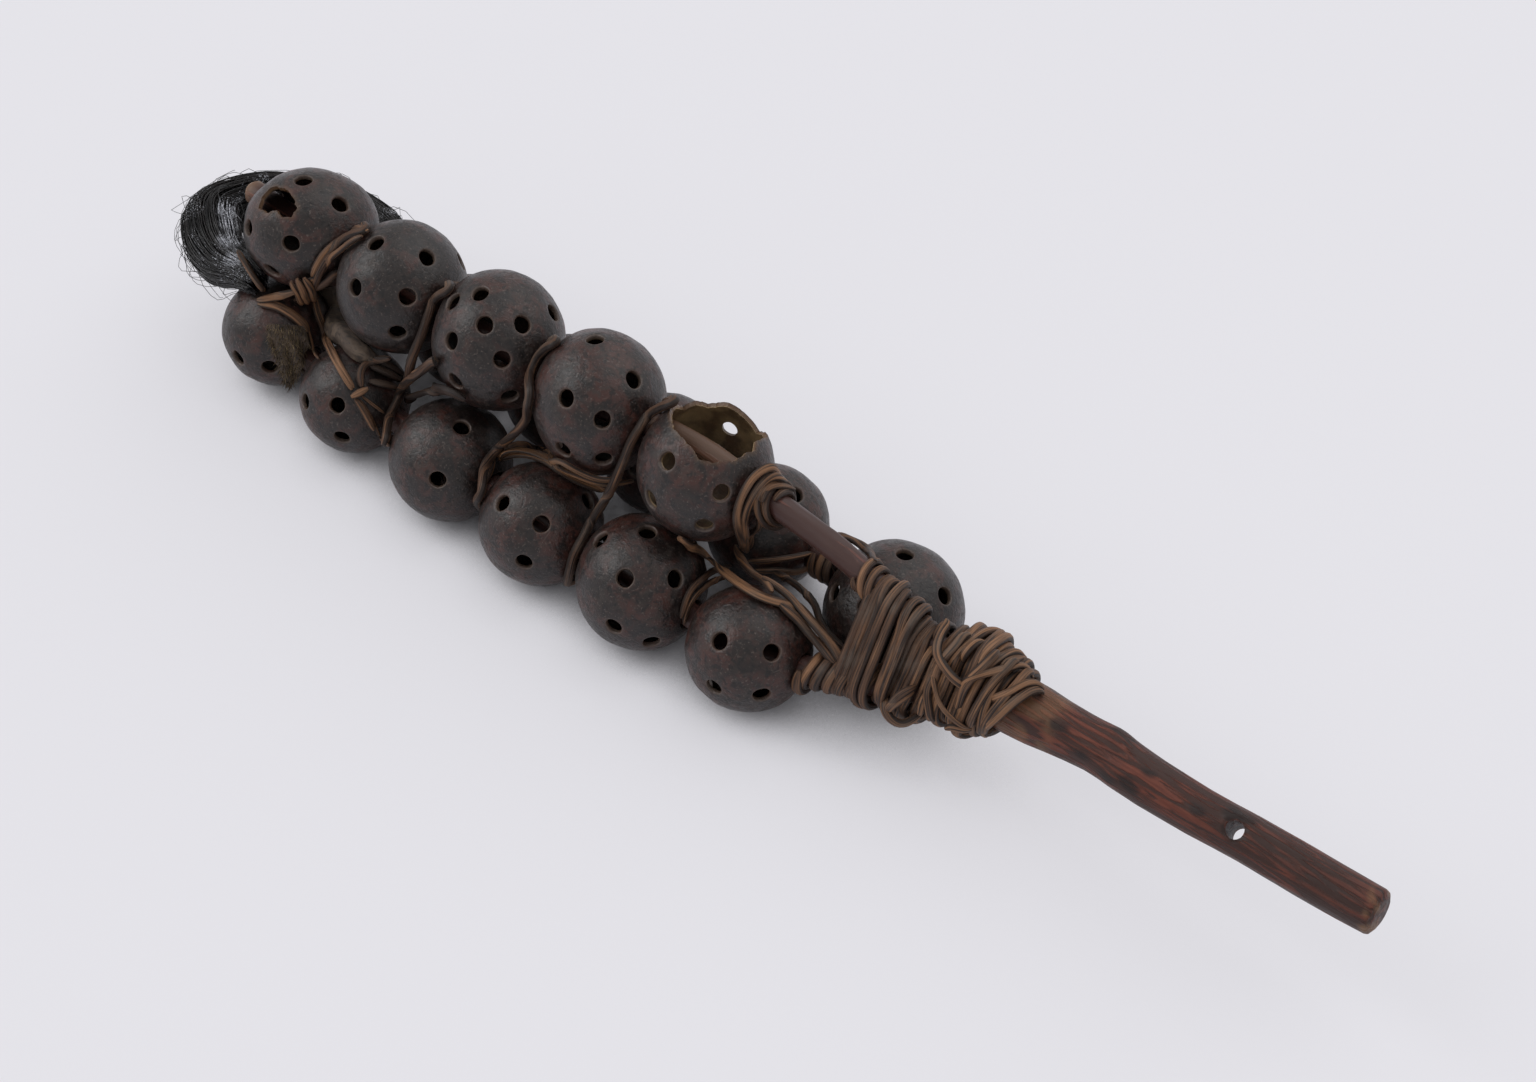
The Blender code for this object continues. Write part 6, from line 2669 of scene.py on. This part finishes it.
@dataclass
class LooseSeeds:
    """The seeds that roll inside the closed shells."""

    flatness: float = 0.90
    lump: float = 0.00035
    lump_grain: float = 2.4
    apart: float = 80
    subdivisions: int = 3

    def build(self) -> None:
        """Make a seed in the place of each CAD seed and let it ride on its own body."""
        material = SeedFinish().material()
        for name in names_of("seed_"):
            low, high = (np.array(corner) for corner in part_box(f"seed_{name}"))
            middle = (low + high) / 2
            radius = float((high - low).max()) / 2
            mesh = bmesh.new()
            bmesh.ops.create_icosphere(mesh, subdivisions=self.subdivisions, radius=1.0)
            shape = []
            for vertex in mesh.verts:
                way = vertex.co.normalized()
                rough = noise.noise(way * self.lump_grain + Vector(middle) * self.apart)
                reach = radius - self.lump * (1 + rough)
                shape.append(middle + np.array((way.x, way.y * self.flatness, way.z)) * reach)
            faces = [[vertex.index for vertex in face.verts] for face in mesh.faces]
            mesh.free()
            piece = add_piece(f"dry_seed_{name}", np.array(shape), faces, material)
            settle_in(piece, "seed", f"seed_{name}", body=f"loose_seed_{name}")


@dataclass
class Studio:
    """Pale floor, soft lamps and a plain world."""

    floor_colour: Colour = srgb(229, 228, 233)
    floor_size: float = 12.0
    floor_glow: float = 0.56
    floor_grain: float = 0.002
    floor_relief: float = 0.00002
    floor_roughness: float = 0.8
    floor_gloss: float = 0.2
    # Painted shade on the floor: its glow fades where occlusion within this reach falls below this range.
    gap_reach: float = 0.060
    gap_range: tuple = (0.18, 0.60)
    sky: Colour = (1.0, 1.0, 1.02, 1.0)
    sky_strength: float = 0.56
    shown_strength: float = 0.80
    key_from: tuple = (0.15, 0.75, 1.0)
    key_strength: float = 0.90
    key_spread: float = 70.0
    fill_from: tuple = (-0.78, -0.42, 0.70)
    fill_strength: float = 0.95
    fill_spread: float = 42.0

    def build(self) -> None:
        """Make the floor, the lamps and the world."""
        bpy.context.scene.view_settings.view_transform = "Standard"
        self.lay_floor()
        self.hang_lamp("key", self.key_from, self.key_strength, self.key_spread)
        self.hang_lamp("fill", self.fill_from, self.fill_strength, self.fill_spread)
        self.set_world()

    def lay_floor(self) -> None:
        """Make the floor that the rattle lies on."""
        kit = MaterialKit("floor")
        grain = kit.noise(self.floor_grain, 2.0)
        seen = kit.add("ShaderNodeLightPath").outputs["Is Camera Ray"]
        share = kit.times(seen, self.floor_glow)
        colour = kit.mix(share, self.floor_colour, (0.0, 0.0, 0.0, 1.0))
        kit.finish(colour, self.floor_roughness, grain, self.floor_relief,
                   Specular_IOR_Level=self.floor_gloss, Emission_Color=self.floor_colour)
        # Painted shade: the glow fades in gaps and under the rattle, where ambient occlusion finds it close.
        sky = kit.add("ShaderNodeAmbientOcclusion", {"Distance": self.gap_reach}, samples=8).outputs["AO"]
        clear = kit.smooth(sky, *self.gap_range)
        kit.feed(kit.shader.inputs["Emission Strength"], kit.times(share, clear))
        half = self.floor_size / 2
        corners = np.array(((-half, -half, 0.0), (half, -half, 0.0), (half, half, 0.0), (-half, half, 0.0)))
        add_piece("floor", corners, [(0, 1, 2, 3)], kit.material)

    def hang_lamp(self, name: str, source: tuple, strength: float, spread: float) -> None:
        """Add a wide, even lamp that shines from a direction.

        Args:
            name: name of the lamp.
            source: direction that it shines from.
            strength: its strength.
            spread: angle that it covers, in degrees.
        """
        data = bpy.data.lights.new(name, "SUN")
        data.energy = strength
        data.angle = math.radians(spread)
        lamp = bpy.data.objects.new(name, data)
        lamp.rotation_mode = "QUATERNION"
        lamp.rotation_quaternion = Vector(source).to_track_quat("Z", "Y")
        bpy.context.scene.collection.objects.link(lamp)

    def set_world(self) -> None:
        """Light the scene from all round, and show the camera a pale background."""
        world = bpy.data.worlds.new("studio")
        world.use_nodes = True
        bpy.context.scene.world = world
        kit = NodeKit(world.node_tree)
        shown = kit.add("ShaderNodeLightPath").outputs["Is Camera Ray"]
        strength = kit.add("ShaderNodeMapRange", {"Value": shown, "To Min": self.sky_strength,
                                                  "To Max": self.shown_strength})
        background = world.node_tree.nodes["Background"]
        background.inputs["Color"].default_value = self.sky
        kit.feed(background.inputs["Strength"], strength.outputs["Result"])


def main() -> None:
    """Build the rattle and its studio."""
    logging.basicConfig(level=logging.INFO, format="%(name)s: %(message)s")
    view = View()
    view.build()
    Studio().build()
    handle = HandleWood(view)
    handle.measure()
    handle.build()
    sticks = Sticks()
    sticks.measure()
    sticks.follow(handle)
    sticks.build()
    shells = FruitShells(view, sticks)
    shells.measure()
    shells.build()
    sight = Sight(view, shells.places, sticks, handle, FibreLoom(FibreFinish()))
    lashings = Lashings(sight)
    lashings.build()
    Ties(sight, lashings).build()
    Straps(sight).build()
    Tail(sight).build()
    LooseSeeds().build()


if __name__ == "__main__":
    main()
